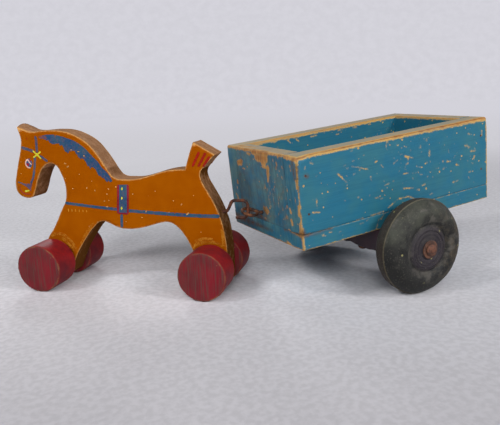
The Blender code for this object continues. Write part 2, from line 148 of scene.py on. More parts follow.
bm = bmesh.new()
bmesh.ops.create_grid(bm, x_segments=1, y_segments=1, size=paper_size / 2)
mesh = bpy.data.meshes.new("floor")
bm.to_mesh(mesh)
bm.free()
floor = bpy.data.objects.new("floor", mesh)
floor.location.z = -paper_drop
mesh.materials.append(paper)
scene.collection.objects.link(floor)

world = bpy.data.worlds.new("studio")
scene.world = world
world.use_nodes = True
tree = world.node_tree
path = add(tree, "LightPath").outputs
seen = math_node(tree, "MAXIMUM", path["Is Camera Ray"], path["Is Glossy Ray"])
seen = math_node(tree, "MAXIMUM", seen, path["Is Transmission Ray"])
shine = tree.nodes["Background"]
backdrop = clouded(tree, backdrop_colour, add(tree, "TexCoord").outputs["Window"], 60.0, 5.0)
tree.links.new(backdrop, shine.inputs["Color"])
fill = add(tree, "Background", {"Color": (0.93, 0.96, 1.0, 1.0), "Strength": 0.05})
mixed = add(tree, "MixShader", {0: seen, 1: fill.outputs[0], 2: shine.outputs[0]})
tree.links.new(mixed.outputs[0], tree.nodes["World Output"].inputs["Surface"])

lamp_distance = 1.4
for name, bearing, height, size, watts in (
    ("key_light", 5, 44, 0.22, 4.4),
    ("left_light", 30, 32, 0.3, 2.5),
    ("camera_light", 60, 32, 0.45, 6.1),
    ("front_light", 94, 24, 0.4, 4.4),
    ("right_light", 120, 32, 0.3, 5.8),
    ("back_light", 265, 28, 0.3, 3.7),
):
    light = bpy.data.lights.new(name, "AREA")
    light.shape = "DISK"
    light.size = size
    light.energy = watts
    lamp = bpy.data.objects.new(name, light)
    bearing, height = math.radians(bearing), math.radians(height)
    flat = math.cos(height)
    at = Vector((flat * math.cos(bearing), flat * math.sin(bearing), math.sin(height)))
    lamp.location = at * lamp_distance
    lamp.rotation_euler = at.to_track_quat("Z", "Y").to_euler()
    scene.collection.objects.link(lamp)


# ---- The horse ----
# One 19 mm board sawn to the outline of a horse, its ear worn round at the tip. The flanks are
# painted orange. The sawn edges are bare, and the paint has worn off along them and in flecks.


def new_group(name, inputs, outputs):
    """A shader node group with its named inputs and outputs."""
    group = bpy.data.node_groups.new(name, "ShaderNodeTree")
    for label, kind, value in inputs:
        kind = "NodeSocket" + kind
        socket = group.interface.new_socket(label, in_out="INPUT", socket_type=kind)
        if value is not None:
            socket.default_value = value
    for label, kind in outputs:
        group.interface.new_socket(label, in_out="OUTPUT", socket_type="NodeSocket" + kind)
    return group, group.nodes.new("NodeGroupInput").outputs, group.nodes.new("NodeGroupOutput")


def use_group(tree, group, inputs):
    """A node group placed in a material, with its own values."""
    return add(tree, "Group", inputs, node_tree=group).outputs


# Aged bare wood with its grain along X: broad bands, fine lines and short dark pores.
sawn_wood, given, result = new_group(
    "sawn wood",
    (("Vector", "Vector", None), ("Light", "Color", None), ("Dark", "Color", None)),
    (("Color", "Color"), ("Height", "Float")),
)
tree, vector = sawn_wood, given["Vector"]
lines = noise_at(tree, vector, 900.0, 5.0, (0.05, 1.0, 1.0))
bands = noise_at(tree, vector, 190.0, 2.0, (0.04, 1.0, 1.0))
pores = noise_at(tree, vector, 2600.0, 2.0, (0.06, 1.0, 1.0))
dark = spread(tree, pores, 0.28, 0.4, 0.35, 0.0)
share = math_node(tree, "ADD", spread(tree, lines, 0.3, 0.7, 0.0, 0.65), spread(tree, bands, 0.35, 0.65, 0.0, 0.5))
share = math_node(tree, "ADD", share, dark, clamp=True)
tree.links.new(blend(tree, share, given["Light"], given["Dark"]), result.inputs["Color"])
tree.links.new(math_node(tree, "SUBTRACT", lines, dark), result.inputs["Height"])

# Old brushed paint. It is gone where Bare, in millimetres inside the worn place, is above zero,
# give or take Ragged, and in flecks that grow more frequent with Flecks.
worn_paint, given, result = new_group(
    "worn paint",
    (
        ("Vector", "Vector", None),
        ("Paint", "Color", None),
        ("Faded", "Color", None),
        ("Wood", "Color", None),
        ("Bare", "Float", -3.0),
        ("Ragged", "Float", 1.0),
        ("Flecks", "Float", 0.1),
        ("Fleck Scale", "Float", 300.0),
    ),
    (("Color", "Color"), ("Height", "Float"), ("Roughness", "Float")),
)
tree, vector = worn_paint, given["Vector"]
fine = noise_at(tree, vector, 1100.0, 3.0)
rough = noise_at(tree, vector, 330.0, 3.0)
patchy = noise_at(tree, vector, 60.0, 2.0)
streaks = noise_at(tree, vector, 420.0, 3.0, (0.08, 1.0, 1.0))
uneven = math_node(tree, "SUBTRACT", math_node(tree, "ADD", fine, rough), 1.0)
worn = math_node(tree, "MULTIPLY_ADD", uneven, given["Ragged"], given["Bare"])
cells = add(tree, "TexVoronoi", {"Vector": vector, "Scale": given["Fleck Scale"]})
pick = add(tree, "SeparateColor", {0: cells.outputs["Color"]}).outputs[0]
rare = math_node(tree, "SUBTRACT", 1.0, given["Flecks"])
reach = math_node(tree, "MULTIPLY", math_node(tree, "SUBTRACT", pick, rare), 3.0)
reach = math_node(tree, "MINIMUM", reach, spread(tree, patchy, 0.35, 0.65, 0.05, 0.4))
fleck = math_node(tree, "SUBTRACT", reach, cells.outputs["Distance"])
fleck = math_node(tree, "MULTIPLY_ADD", math_node(tree, "SUBTRACT", fine, 0.5), 0.5, fleck)
bare = math_node(tree, "MAXIMUM", spread(tree, worn, -0.1, 0.1), spread(tree, fleck, -0.03, 0.03))
thin = spread(tree, worn, -0.9, 0.1, 0.0, 0.35)
colour = blend(tree, spread(tree, patchy, 0.35, 0.7), given["Paint"], given["Faded"])
colour = blend(tree, spread(tree, streaks, 0.35, 0.75, 0.0, 0.35), colour, given["Faded"])
colour = blend(tree, thin, colour, given["Wood"])
colour = blend(tree, bare, colour, given["Wood"])
tree.links.new(colour, result.inputs["Color"])
height = math_node(tree, "MULTIPLY_ADD", streaks, 0.15, math_node(tree, "SUBTRACT", 1.0, bare))
tree.links.new(height, result.inputs["Height"])
tree.links.new(math_node(tree, "MULTIPLY_ADD", bare, 0.25, 0.5), result.inputs["Roughness"])


def along_board(tree, frame_of_piece):
    """Object coordinates turned so that X runs along the piece's own board."""
    turn = frame_of_piece.inverted()
    inputs = {
        "Vector": add(tree, "TexCoord").outputs["Object"],
        "Location": turn.to_translation(),
        "Rotation": turn.to_euler(),
    }
    return add(tree, "Mapping", inputs).outputs[0]


# Dark brown for the cart's real stains and for the painted shade on the horse's edges.
dirt_and_shade_brown = srgb(90, 54, 20)


def painted_wood(
    name, frame_of_piece, colours, ragged, flecks, fleck_scale, shine=0.35, saw_lines=None, edge_highlight_wood=None
):
    """Paint over wood, worn where the piece's own bare attribute says. Its stain attribute darkens it:
    real stains on the cart, and painted shade on the horse's edges that face back or down. Edge
    highlight wood, where given, makes the wood paler at the edges of worn places: a painted highlight,
    and on the cart also freshly bared wood.

    The colours are those of the paint, the faded paint, the wood and its darker grain."""
    paint, faded, wood, dark_wood = [srgb(*colour) for colour in colours]
    material, tree, shader = new_material(name, Specular_IOR_Level=shine)
    vector = along_board(tree, frame_of_piece)
    grain = use_group(tree, sawn_wood, {"Vector": vector, "Light": wood, "Dark": dark_wood})
    bare = add(tree, "Attribute", attribute_name="bare").outputs["Fac"]
    wood_colour = grain["Color"]
    # Paler wood at the edges of worn places: a painted highlight on rounded edges.
    if edge_highlight_wood is not None:
        wood_colour = blend(tree, spread(tree, bare, 0.3, 2.4), srgb(*edge_highlight_wood), wood_colour)
    coat = use_group(
        tree,
        worn_paint,
        {
            "Vector": vector,
            "Paint": paint,
            "Faded": faded,
            "Wood": wood_colour,
            "Bare": bare,
            "Ragged": ragged,
            "Flecks": flecks,
            "Fleck Scale": fleck_scale,
        },
    )
    colour = coat["Color"]
    if saw_lines is not None:
        share, line_colour = saw_lines
        lines = noise_at(tree, vector, 1400.0, 2.0, (0.03, 1.0, 1.0))
        bands = noise_at(tree, vector, 150.0, 2.0, (0.1, 1.0, 1.0))
        bands = spread(tree, bands, 0.3, 0.6, 0.25, 1.0)
        lines = math_node(tree, "MULTIPLY", spread(tree, lines, 0.44, 0.6), bands)
        colour = blend(tree, math_node(tree, "MULTIPLY", lines, share), colour, srgb(*line_colour))
    # Real stains on the cart, painted shade on the horse's edges.
    stain_and_shade = add(tree, "Attribute", attribute_name="stain_and_shade").outputs["Fac"]
    blotch = noise_at(tree, vector, 230.0, 4.0)
    share = math_node(tree, "MULTIPLY", stain_and_shade, spread(tree, blotch, 0.3, 0.65, 0.4, 1.0))
    colour = blend(tree, math_node(tree, "MINIMUM", share, 0.97), colour, dirt_and_shade_brown)
    tree.links.new(colour, shader.inputs["Base Color"])
    tree.links.new(coat["Roughness"], shader.inputs["Roughness"])
    height = math_node(tree, "MULTIPLY_ADD", grain["Height"], 0.35, coat["Height"])
    bump = add(tree, "Bump", {"Height": height, "Distance": 0.12 * MM, "Strength": 0.6})
    tree.links.new(bump.outputs[0], shader.inputs["Normal"])
    return material


def finish(name, bm, materials, body, slot, *nodes, frame_of_piece=None):
    """Turn a bmesh into a piece in its place that rides its body and stands for its nodes.

    Its shading is sharp where two faces meet at 40 degrees or more."""
    if frame_of_piece is not None:
        bmesh.ops.transform(bm, matrix=frame_of_piece, verts=bm.verts)
    mesh = bpy.data.meshes.new(name)
    bm.to_mesh(mesh)
    bm.free()
    mesh.shade_smooth()
    mesh.set_sharp_from_angle(angle=math.radians(40))
    for material in materials:
        mesh.materials.append(material)
    piece = bpy.data.objects.new(name, mesh)
    scene.collection.objects.link(piece)
    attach(piece, body)
    if nodes:
        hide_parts(*nodes)


def middle(node):
    """The middle of a node's box."""
    low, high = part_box(node)
    return (low + high) / 2


rear_axle = middle("horse_rear_axle")
heading = middle("horse_front_axle") - rear_axle
horse_turn = Matrix.Rotation(math.atan2(heading.y, heading.x), 4, "Z")
horse_frame = Matrix.Translation((rear_axle.x, rear_axle.y, 0.0)) @ horse_turn
axle_height = rear_axle.z
horse_board = 19.0 * MM
flank = horse_board / 2
edge_wear = 0.9 * MM
saw_marks = 0.18 * MM
ear_crown = 2.6 * MM
flank_cell = 3.0 * MM
layers = 8

# The outline is cut from the CAD board a millimetre under its left flank, and the axles' bores are
# taken out of it. It is then drawn out again to the board's thickness.
under_flank = flank - 1.0 * MM
bore_reach = 4 * MM
board = bmesh.new()
board.from_mesh(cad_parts["horse_body"].data)
wear = board.verts.layers.float.new("bare")
# On the horse this layer carries painted shade on its edges.
stain_and_shade_layer = board.verts.layers.float.new("stain_and_shade")
bmesh.ops.transform(board, matrix=horse_frame.inverted(), verts=board.verts)
bmesh.ops.remove_doubles(board, verts=board.verts, dist=0.01 * MM)
bmesh.ops.bisect_plane(
    board,
    geom=board.verts[:] + board.edges[:] + board.faces[:],
    dist=0.001 * MM,
    plane_co=(0.0, under_flank, 0.0),
    plane_no=(0.0, 1.0, 0.0),
    clear_inner=True,
    clear_outer=True,
)
bores = [
    vert
    for vert in board.verts
    if min(abs(vert.co.x), abs(vert.co.x - heading.length)) < bore_reach
    and abs(vert.co.z - axle_height) < bore_reach
]
bmesh.ops.delete(board, geom=bores, context="VERTS")
bmesh.ops.remove_doubles(board, verts=board.verts, dist=0.05 * MM)
for vert in board.verts:
    vert.co.y = -flank
rim = board.edges[:]
bmesh.ops.contextual_create(board, geom=rim)
for step in range(layers):
    grown = bmesh.ops.extrude_edge_only(board, edges=rim)["geom"]
    fresh = {item for item in grown if isinstance(item, bmesh.types.BMVert)}
    bmesh.ops.translate(board, vec=(0.0, horse_board / layers, 0.0), verts=list(fresh))
    rim = [edge for edge in board.edges if edge.verts[0] in fresh and edge.verts[1] in fresh]
bmesh.ops.contextual_create(board, geom=rim)
bmesh.ops.recalc_face_normals(board, faces=board.faces)
flanks = [face for face in board.faces if abs(face.normal.y) > 0.99]
rims = [edge for face in flanks for edge in face.edges]
bmesh.ops.bevel(
    board,
    geom=rims,
    offset=edge_wear,
    offset_type="OFFSET",
    segments=3,
    profile=0.5,
    affect="EDGES",
    clamp_overlap=True,
    material=-1,
)
left_flank = max(board.faces, key=lambda face: (face.normal.y > 0.99, len(face.verts)))
outline = np.array([vert.co.xz for vert in left_flank.verts])
for cut, lengths in ((Vector((1.0, 0.0, 0.0)), outline[:, 0]), (Vector((0.0, 0.0, 1.0)), outline[:, 1])):
    start, end = float(lengths.min()), float(lengths.max())
    for step in range(1, int((end - start) / flank_cell)):
        flanks = [face for face in board.faces if abs(face.normal.y) > 0.999]
        parts = {item for face in flanks for item in (face, *face.edges, *face.verts)}
        place = cut * (start + step * flank_cell)
        bmesh.ops.bisect_plane(board, geom=list(parts), dist=0.02 * MM, plane_co=place, plane_no=cut)
runs = np.roll(outline, -1, axis=0) - outline


def to_outline(x, z):
    """How far a place on the flank is from the nearest edge of the board."""
    away = np.array((x, z)) - outline
    along = np.clip((away * runs).sum(1) / (runs * runs).sum(1), 0.0, 1.0)
    return float(np.sqrt(((away - runs * along[:, None]) ** 2).sum(1)).min())


def share_past(value, start, run):
    """0 before the start, 1 a whole run beyond it."""
    return max(0.0, min(1.0, (value - start) / run))


# The edges are bare. Painted shade darkens those below the ears that face back or down, less so on the head, and all
# edges are a little darker towards the bottom.
bare_rim = 0.25
below_ears, head_from, jaw_foot = 96 * MM, 130 * MM, 64 * MM
for vert in board.verts:
    x, y, z = vert.co
    depth = flank - abs(y)
    if depth < 0.001 * MM:
        vert[wear] = bare_rim - min(to_outline(x, z) / MM, 2.5)
    else:
        vert[wear] = min(bare_rim + 1.7 * depth / MM, 3.0)
        # Painted shade on the edges that face back or down.
        painted_edge_shade = max(0.0, -1.3 * vert.normal.x - 0.9 * vert.normal.z) if z < below_ears else 0.0
        if x > head_from and z > jaw_foot:
            painted_edge_shade *= 0.5
        vert[stain_and_shade_layer] = painted_edge_shade + 0.25 * share_past(-z, -52 * MM, 20 * MM)
        vert.co -= vert.normal * saw_marks * (0.5 + 0.5 * noise.noise(vert.co * 90))
    ear = share_past(z, 118 * MM, 12 * MM) * share_past(x, 140 * MM, 12 * MM)
    vert.co.z -= ear * ear_crown * (y / flank) ** 2

# The paler edge wood paints a highlight along the board's rounded edges.
orange = painted_wood(
    "orange_paint",
    horse_frame,
    ((153, 76, 2), (160, 83, 3), (186, 142, 108), (150, 108, 76)),
    ragged=1.1,
    flecks=0.05,
    fleck_scale=260.0,
    shine=0.0,
    edge_highlight_wood=(204, 150, 88),
)
finish("horse_board", board, [orange], "horse", "orange_paint", "horse_body", frame_of_piece=horse_frame)

# ---- The painted harness, mane, tail and eye ----
# Strokes of thick enamel laid on each flank with a small brush, standing a little proud of it:
# blue straps and mane, a red-edged girth patch with yellow studs, and red strokes on the tail.

paint_sunk = 0.05 * MM
paint_thickness = 0.04 * MM
paint_over_paint = 0.00006 * MM
blue_strap, mane_blue, mane_violet, red_line, tail_red, stud_yellow = range(6)
dash_tan, eye_white, eye_dark, chip_wood, rubbed, ear_red = range(6, 12)
harness_colours = (
    ((38, 74, 106), (52, 88, 112)),
    ((36, 72, 112), (56, 86, 106)),
    ((84, 72, 96), (66, 82, 112)),
    ((120, 28, 38), (146, 40, 56)),
    ((160, 34, 22), (142, 30, 24)),
    ((214, 204, 52), (190, 190, 60)),
    ((196, 136, 40), (186, 120, 30)),
    ((234, 218, 208), (216, 176, 162)),
    ((40, 62, 100), (56, 86, 124)),
    ((206, 158, 96), (190, 132, 62)),
    ((192, 132, 44), (178, 110, 22)),
    ((146, 46, 8), (150, 60, 10)),
)
# Chips down to the wood, as (forward, up, length, angle).
flank_chips = (
    (119.7, 100.2, 2.0, 20), (117.5, 97.7, 2.2, 150), (113.0, 111.0, 1.0, 0), (115.1, 79.7, 1.0, 40),
    (102.5, 80.5, 1.6, 110), (95.5, 78.4, 1.4, 100), (86.0, 65.4, 1.6, 10), (83.4, 79.8, 1.2, 60),
    (85.1, 75.7, 1.4, 20), (87.9, 70.0, 1.3, 170), (83.9, 70.4, 1.0, 0), (62.7, 76.0, 1.4, 120),
    (52.4, 62.2, 1.8, 100), (17.8, 61.0, 3.0, 140), (28.8, 71.1, 1.0, 30), (22.3, 68.3, 1.8, 120),
    (56.4, 57.1, 1.6, 10), (102.2, 106.3, 1.3, 50), (106.7, 109.6, 1.6, 20), (161.5, 91.8, 1.0, 60),
    (160.4, 101.4, 0.9, 90), (121.0, 88.0, 0.7, 0), (108.0, 91.5, 0.7, 60), (97.5, 86.0, 0.8, 30),
    (43.5, 78.5, 0.7, 100), (33.0, 62.0, 0.9, 20), (12.0, 75.5, 0.7, 60), (70.5, 53.5, 0.9, 160),
)
# Rubbed places round the wheels and along the legs, as routes of (forward, up).
rubbed_bands = (
    ((15.4, 33.6), (12.4, 36.0), (9.0, 37.6), (3.0, 38.8), (-3.0, 38.8), (-9.6, 36.2)),
    ((13.6, 38.6), (6.0, 41.2), (-2.0, 41.4)),
    ((140.2, 39.6), (134.5, 41.6), (128.4, 40.9), (124.6, 37.9), (121.3, 34.7), (118.5, 30.5), (116.6, 26.4)),
    ((130.0, 38.6), (126.4, 34.9), (122.6, 31.2), (119.8, 27.4)),
    ((99.0, 51.4), (103.0, 47.2), (108.0, 41.4), (113.0, 33.4)),
    ((-10.6, 36.0), (-10.0, 43.0), (-9.2, 50.0)),
)
path_step = 0.5 * MM


def smooth_path(points):
    """Closely spaced points on a smooth line through the given ones, which are in millimetres."""
    points = [Vector(point) * MM for point in points]
    padded = [points[0] * 2 - points[1], *points, points[-1] * 2 - points[-2]]
    line = []
    for before, start, end, after in zip(padded, padded[1:], padded[2:], padded[3:]):
        count = max(1, math.ceil((end - start).length / path_step))
        squared = 2 * before - 5 * start + 4 * end - after
        cubed = 3 * start - before - 3 * end + after
        for index in range(count):
            t = index / count
            line.append(0.5 * (2 * start + (end - before) * t + squared * t * t + cubed * t * t * t))
    return [*line, points[-1]]


def lay_paint(bm, rows, paint):
    """A thin closed skin of paint between two lines of points given as (forward, up).

    Each skin stands a hair above the last, so that paint laid later covers it."""
    count = len(rows)
    made = bmesh.ops.create_grid(bm, x_segments=count - 1, y_segments=1, size=0.5)["verts"]
    made.sort(key=lambda vert: (vert.co.x, vert.co.y))
    for index, (lower, upper) in enumerate(rows):
        for vert, place in zip(made[2 * index : 2 * index + 2], (lower, upper)):
            vert.co = (place.x, flank - paint_sunk, place.y)
    faces = list({face for vert in made for face in vert.link_faces})
    for face in faces:
        face.material_index = paint
    raised = bmesh.ops.extrude_face_region(bm, geom=faces)["geom"]
    top = [item for item in raised if isinstance(item, bmesh.types.BMVert)]
    rise = paint_sunk + paint_thickness + len(bm.verts) * paint_over_paint
    bmesh.ops.translate(bm, vec=(0.0, rise, 0.0), verts=top)


def stroke(bm, points, width, paint, end_width=None):
    """One brush stroke with round ends and a slightly unsteady width."""
    line = smooth_path(points)
    end_width = width if end_width is None else end_width
    length = sum((b - a).length for a, b in zip(line, line[1:]))
    run = 0.0
    rows = []
    for index, point in enumerate(line):
        ahead = line[min(index + 1, len(line) - 1)] - line[max(index - 1, 0)]
        side = Vector((-ahead.y, ahead.x)).normalized()
        half = (width + (end_width - width) * run / length) * MM / 2
        near_end = min(run, length - run) / half
        half *= math.sqrt(max(0.03, 1 - (1 - min(near_end, 1.0)) ** 2))
        half *= 1 + 0.16 * noise.noise(Vector((point.x, point.y, paint)) * 700)
        rows.append((point - side * half, point + side * half))
        if index + 1 < len(line):
            run += (line[index + 1] - point).length
    lay_paint(bm, rows, paint)


def dab(bm, centre, radius, paint):
    """A round dab, such as a stud or a dot."""
    x, z = centre
    half = radius * 0.35
    stroke(bm, ((x - half, z - 0.1), (x + half, z + 0.1)), 2 * radius, paint)


def band(bm, lower, upper, paint, rough=0.0):
    """Paint that fills the space between two edges, by choice with a rough lower edge."""
    lower = smooth_path(lower)
    for point in lower:
        point.y += rough * MM * noise.noise(Vector((point.x, point.y, 4.0)) * 650)
    upper = smooth_path(upper)
    count = max(len(lower), len(upper))
    rows = []
    for index in range(count):
        share = index / (count - 1)
        rows.append((lower[round(share * (len(lower) - 1))], upper[round(share * (len(upper) - 1))]))
    lay_paint(bm, rows, paint)


mane_top = (
    (141.5, 121.6), (138.5, 122.6), (133.1, 123.3), (127.0, 123.2), (121.1, 121.9), (115.5, 120.2),
    (109.7, 118.1), (104.2, 114.8), (100.1, 111.4), (96.9, 107.9), (93.6, 104.5), (90.3, 101.2),
    (87.8, 97.2), (84.4, 93.9), (81.3, 90.0), (79.4, 86.4),
)
mane_scallops = (
    (141.5, 121.2), (139.0, 121.2), (135.9, 119.4), (132.3, 117.3), (127.9, 116.3), (123.5, 115.3),
    (119.9, 113.6), (119.2, 110.6), (116.8, 108.9), (113.6, 110.6), (110.7, 109.9), (108.1, 106.5),
    (105.4, 104.2), (102.6, 103.2), (100.6, 100.5), (98.4, 97.2), (95.1, 96.9), (92.7, 95.2),
    (91.3, 91.2), (87.9, 88.9), (84.5, 86.9), (80.9, 85.4),
)
trace_strap = (
    (123.5, 67.8), (110.3, 66.4), (96.9, 65.0), (78.1, 63.4), (65.7, 62.4),
    (49.2, 61.4), (24.1, 60.1), (7.8, 59.6), (-8.2, 59.6),
)

for side, sign in (("left", 1), ("right", -1)):
    bm = bmesh.new()
    wear = bm.verts.layers.float.new("bare")
    # The mane, the bridle's straps with their bow, the mouth and the eye.
    band(bm, mane_scallops, mane_top, mane_blue, 2.2)
    stroke(bm, ((141.0, 121.6), (136.5, 121.4), (133.5, 120.4)), 2.2, mane_violet, 1.2)
    stroke(bm, ((144.2, 122.4), (144.0, 118.0), (144.2, 113.6), (144.4, 109.0)), 2.1, blue_strap)
    stroke(bm, ((158.6, 113.4), (155.1, 112.4), (151.5, 111.4), (147.0, 109.8)), 2.3, blue_strap)
    stroke(bm, ((142.8, 106.4), (139.9, 105.0), (137.8, 103.4), (135.6, 101.8)), 2.0, blue_strap)
    cheek_strap = ((146.7, 105.4), (147.7, 99.8), (148.8, 94.8), (150.6, 88.8), (152.8, 84.9), (154.0, 80.7))
    stroke(bm, cheek_strap, 2.1, blue_strap, 1.6)
    stroke(bm, ((165.7, 84.7), (162.9, 84.0), (160.2, 82.7), (156.7, 80.6), (153.8, 79.0)), 1.1, blue_strap)
    noseband_lower = ((160.6, 82.6), (157.3, 80.2), (154.2, 77.2))
    noseband_upper = ((160.2, 83.4), (156.6, 83.4), (153.2, 83.0))
    band(bm, noseband_lower, noseband_upper, mane_violet)
    stroke(bm, ((148.0, 110.6), (144.6, 107.3), (141.2, 104.0)), 1.2, stud_yellow)
    stroke(bm, ((148.4, 105.0), (144.6, 107.3), (141.0, 109.8)), 1.2, stud_yellow)
    stroke(bm, ((160.0, 77.0), (155.6, 77.8)), 1.8, stud_yellow, 1.0)
    dab(bm, (152.4, 120.4), 1.5, ear_red)
    dab(bm, (164.1, 80.8), 0.9, red_line)
    stroke(bm, ((164.5, 79.3), (163.4, 76.9), (161.3, 75.2), (158.1, 74.6), (154.4, 74.8)), 0.6, red_line)
    eye_lower = ((155.6, 99.2), (154.7, 97.6), (152.9, 96.9), (151.1, 97.6), (150.1, 99.5))
    eye_upper = ((155.7, 99.8), (155.3, 101.9), (154.0, 103.7), (152.3, 104.0), (150.4, 101.9))
    band(bm, eye_lower, eye_upper, eye_dark)
    stroke(bm, ((155.0, 100.4), (153.6, 98.0)), 2.6, red_line)
    stroke(bm, ((152.4, 103.3), (151.0, 102.0)), 1.2, red_line)
    stroke(bm, ((152.2, 96.5), (154.6, 97.2), (156.0, 99.2), (155.7, 101.8), (153.9, 103.9)), 1.1, eye_white, 0.9)
    stroke(bm, ((153.9, 103.7), (152.4, 101.2), (150.6, 99.3)), 1.3, eye_white, 0.9)
    # The trace along the flank, the girth patch with its studs, and the dashes on the shoulder.
    stroke(bm, trace_strap, 2.1, blue_strap, 2.8)
    band(bm, ((76.3, 60.2), (68.6, 60.0)), ((74.2, 83.2), (66.8, 83.4)), blue_strap)
    stroke(bm, ((74.6, 83.4), (76.9, 60.0)), 1.7, red_line)
    stroke(bm, ((66.3, 83.4), (68.3, 60.0)), 1.5, red_line)
    stroke(bm, ((76.9, 60.3), (68.2, 59.9)), 1.3, red_line)
    stroke(bm, ((73.9, 59.4), (74.2, 54.2), (74.5, 48.6)), 2.1, blue_strap)
    for stud in ((71.6, 80.1), (72.4, 72.5), (73.3, 64.3)):
        dab(bm, stud, 1.9, stud_yellow)
    for forward in (121.3, 118.1, 114.9, 111.5, 108.1, 104.8):
        up = 63.0 - (121.3 - forward) * 0.05
        stroke(bm, ((forward, up), (forward - 0.1, 60.4)), 0.8, dash_tan)
    # The tail's strokes, and then the chips and the rubbed places.
    stroke(bm, ((5.6, 108.9), (11.6, 97.8)), 2.0, tail_red, 1.6)
    stroke(bm, ((0.6, 108.2), (7.0, 97.6)), 2.0, tail_red, 1.6)
    stroke(bm, ((-2.4, 105.4), (3.2, 97.6)), 1.9, tail_red, 1.5)
    for forward, up, length, angle in flank_chips:
        turn = math.radians(angle)
        across = Vector((math.cos(turn), math.sin(turn))) * length / 2
        stroke(bm, ((forward - across.x, up - across.y), (forward + across.x, up + across.y)), 0.8, chip_wood)
    for route in rubbed_bands:
        stroke(bm, route, 2.8, rubbed, 2.0)
    # The enamel has worn most on the straps of the head, less on the others and on the mane.
    for face in bm.faces:
        paint = face.material_index
        for vert in face.verts:
            if paint == rubbed:
                vert[wear] = 0.0
            elif paint in (blue_strap, mane_violet) and vert.co.x > head_from:
                vert[wear] = -0.4
            elif paint in (blue_strap, mane_blue):
                vert[wear] = -0.7
            else:
                vert[wear] = -1.0
    bmesh.ops.scale(bm, vec=(1.0, sign, 1.0), verts=bm.verts)
    bmesh.ops.recalc_face_normals(bm, faces=bm.faces)
    enamels = [
        painted_wood(
            f"enamel_{side}_{paint}",
            horse_frame,
            (fresh_paint, faded_paint, (164, 88, 8), (153, 76, 2)),
            ragged=1.6,
            flecks=0.1,
            fleck_scale=420.0,
            shine=0.05,
        )
        for paint, (fresh_paint, faded_paint) in enumerate(harness_colours)
    ]
    finish("harness_paint_" + side, bm, enamels, "horse", "orange_paint", frame_of_piece=horse_frame)

# ---- The horse's wheels ----
# Four lengths of turned wood painted dark red, two to an axle dowel. The saw's lines show through
# the paint on the round faces, and the paint is rubbed off along their edges.

wheel_radius = 19.0 * MM
wheel_width = 24.5 * MM
wheel_edge = 1.2 * MM
lathe_steps = 96


def turned(bm, profile, turned_frame, steps=lathe_steps):
    """Spin a profile of (radius, along) round the Y axis of the given frame, and close its poles.

    The vertices it gives back are those of this turned shape alone, found along its edges."""
    verts = [bm.verts.new((radius, along, 0.0)) for radius, along in profile]
    edges = [bm.edges.new(pair) for pair in zip(verts, verts[1:])]
    if profile[0][0] > 0 and profile[-1][0] > 0:
        edges.append(bm.edges.new((verts[-1], verts[0])))
    bmesh.ops.spin(
        bm,
        geom=verts + edges,
        cent=(0.0, 0.0, 0.0),
        axis=(0.0, 1.0, 0.0),
        angle=2 * math.pi,
        steps=steps,
        use_merge=True,
    )
    made = {vert for edge in edges for vert in edge.verts}
    reached = list(made)
    while reached:
        for edge in reached.pop().link_edges:
            for vert in edge.verts:
                if vert not in made:
                    made.add(vert)
                    reached.append(vert)
    bmesh.ops.remove_doubles(bm, verts=list(made), dist=0.001 * MM)
    made = [vert for vert in made if vert.is_valid]
    bmesh.ops.transform(bm, matrix=turned_frame, verts=made)
    faces = list({face for vert in made for face in vert.link_faces})
    bmesh.ops.recalc_face_normals(bm, faces=faces)
    return made


def rounded_end(radius, along, edge, steps=4):
    """Points of a rounded edge from a turned piece's end to its side."""
    angles = [math.pi / 2 * step / steps for step in range(steps, -1, -1)]
    return [(radius - edge + edge * math.cos(angle), along - (edge - edge * math.sin(angle))) for angle in angles]


upright = Matrix.Rotation(math.pi / 2, 4, "Y")
edge_chips = 0.25 * MM
for row, body in (("rear", "horse_rear_wheelset"), ("front", "horse_front_wheelset")):
    for side in ("left", "right"):
        node = f"horse_wheel_{row}_{side}"
        at = Matrix.Translation(middle(node)) @ horse_turn
        tall = at @ upright
        half = wheel_width / 2
        bm = bmesh.new()
        wear = bm.verts.layers.float.new("bare")
        face_rings = [(ring * MM, half) for ring in (0, 4, 8, 12, 15, 17)]
        side_rings = [(wheel_radius, half - wheel_edge - step * MM) for step in (1, 2.5, 6)]
        shape = face_rings + rounded_end(wheel_radius, half, wheel_edge) + side_rings
        shape += [(radius, -along) for radius, along in reversed(shape)]
        made = turned(bm, shape, at)
        back_to_wheel = at.inverted()
        for vert in made:
            place = back_to_wheel @ vert.co
            radius = math.hypot(place.x, place.z)
            corner = math.hypot(radius - wheel_radius, abs(place.y) - half)
            ragged = noise.noise(vert.co * 160)
            vert[wear] = max(-2.0, 0.35 + 0.6 * ragged - 0.75 * corner / MM)
            if corner < 1.6 * MM:
                vert.co -= vert.normal * edge_chips * max(0.0, 0.4 + ragged)
        for face in bm.faces:
            along = back_to_wheel.to_3x3() @ face.normal
            face.material_index = 0 if abs(along.y) > 0.7 else 1
        face_paint = painted_wood(
            f"{row}_{side}_wheel_face",
            tall,
            ((126, 30, 40), (100, 34, 40), (150, 104, 74), (110, 62, 45)),
            ragged=1.0,
            flecks=0.05,
            fleck_scale=300.0,
            shine=0.08,
            saw_lines=(0.8, (88, 62, 56)),
        )
        side_paint = painted_wood(
            f"{row}_{side}_wheel_side",
            at,
            ((146, 30, 32), (96, 28, 36), (150, 100, 70), (110, 60, 45)),
            ragged=1.0,
            flecks=0.08,
            fleck_scale=260.0,
            shine=0.08,
            saw_lines=(0.45, (78, 30, 34)),
        )
        finish(node + "_dressed", bm, [face_paint, side_paint], body, "maroon_paint", node)

dowel_colours = ((120, 84, 60), (130, 60, 50), (180, 140, 100), (140, 96, 64))
dowel = painted_wood("axle_dowel", horse_frame, dowel_colours, ragged=1.0, flecks=0.2, fleck_scale=300.0)
for node in ("horse_rear_axle", "horse_front_axle"):
    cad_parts[node].material_slots[0].material = dowel

# ---- The hook ----
# A piece of iron wire driven into the rump and bent up, back, down and forward again. It is
# brown with rust, redder where it shines.


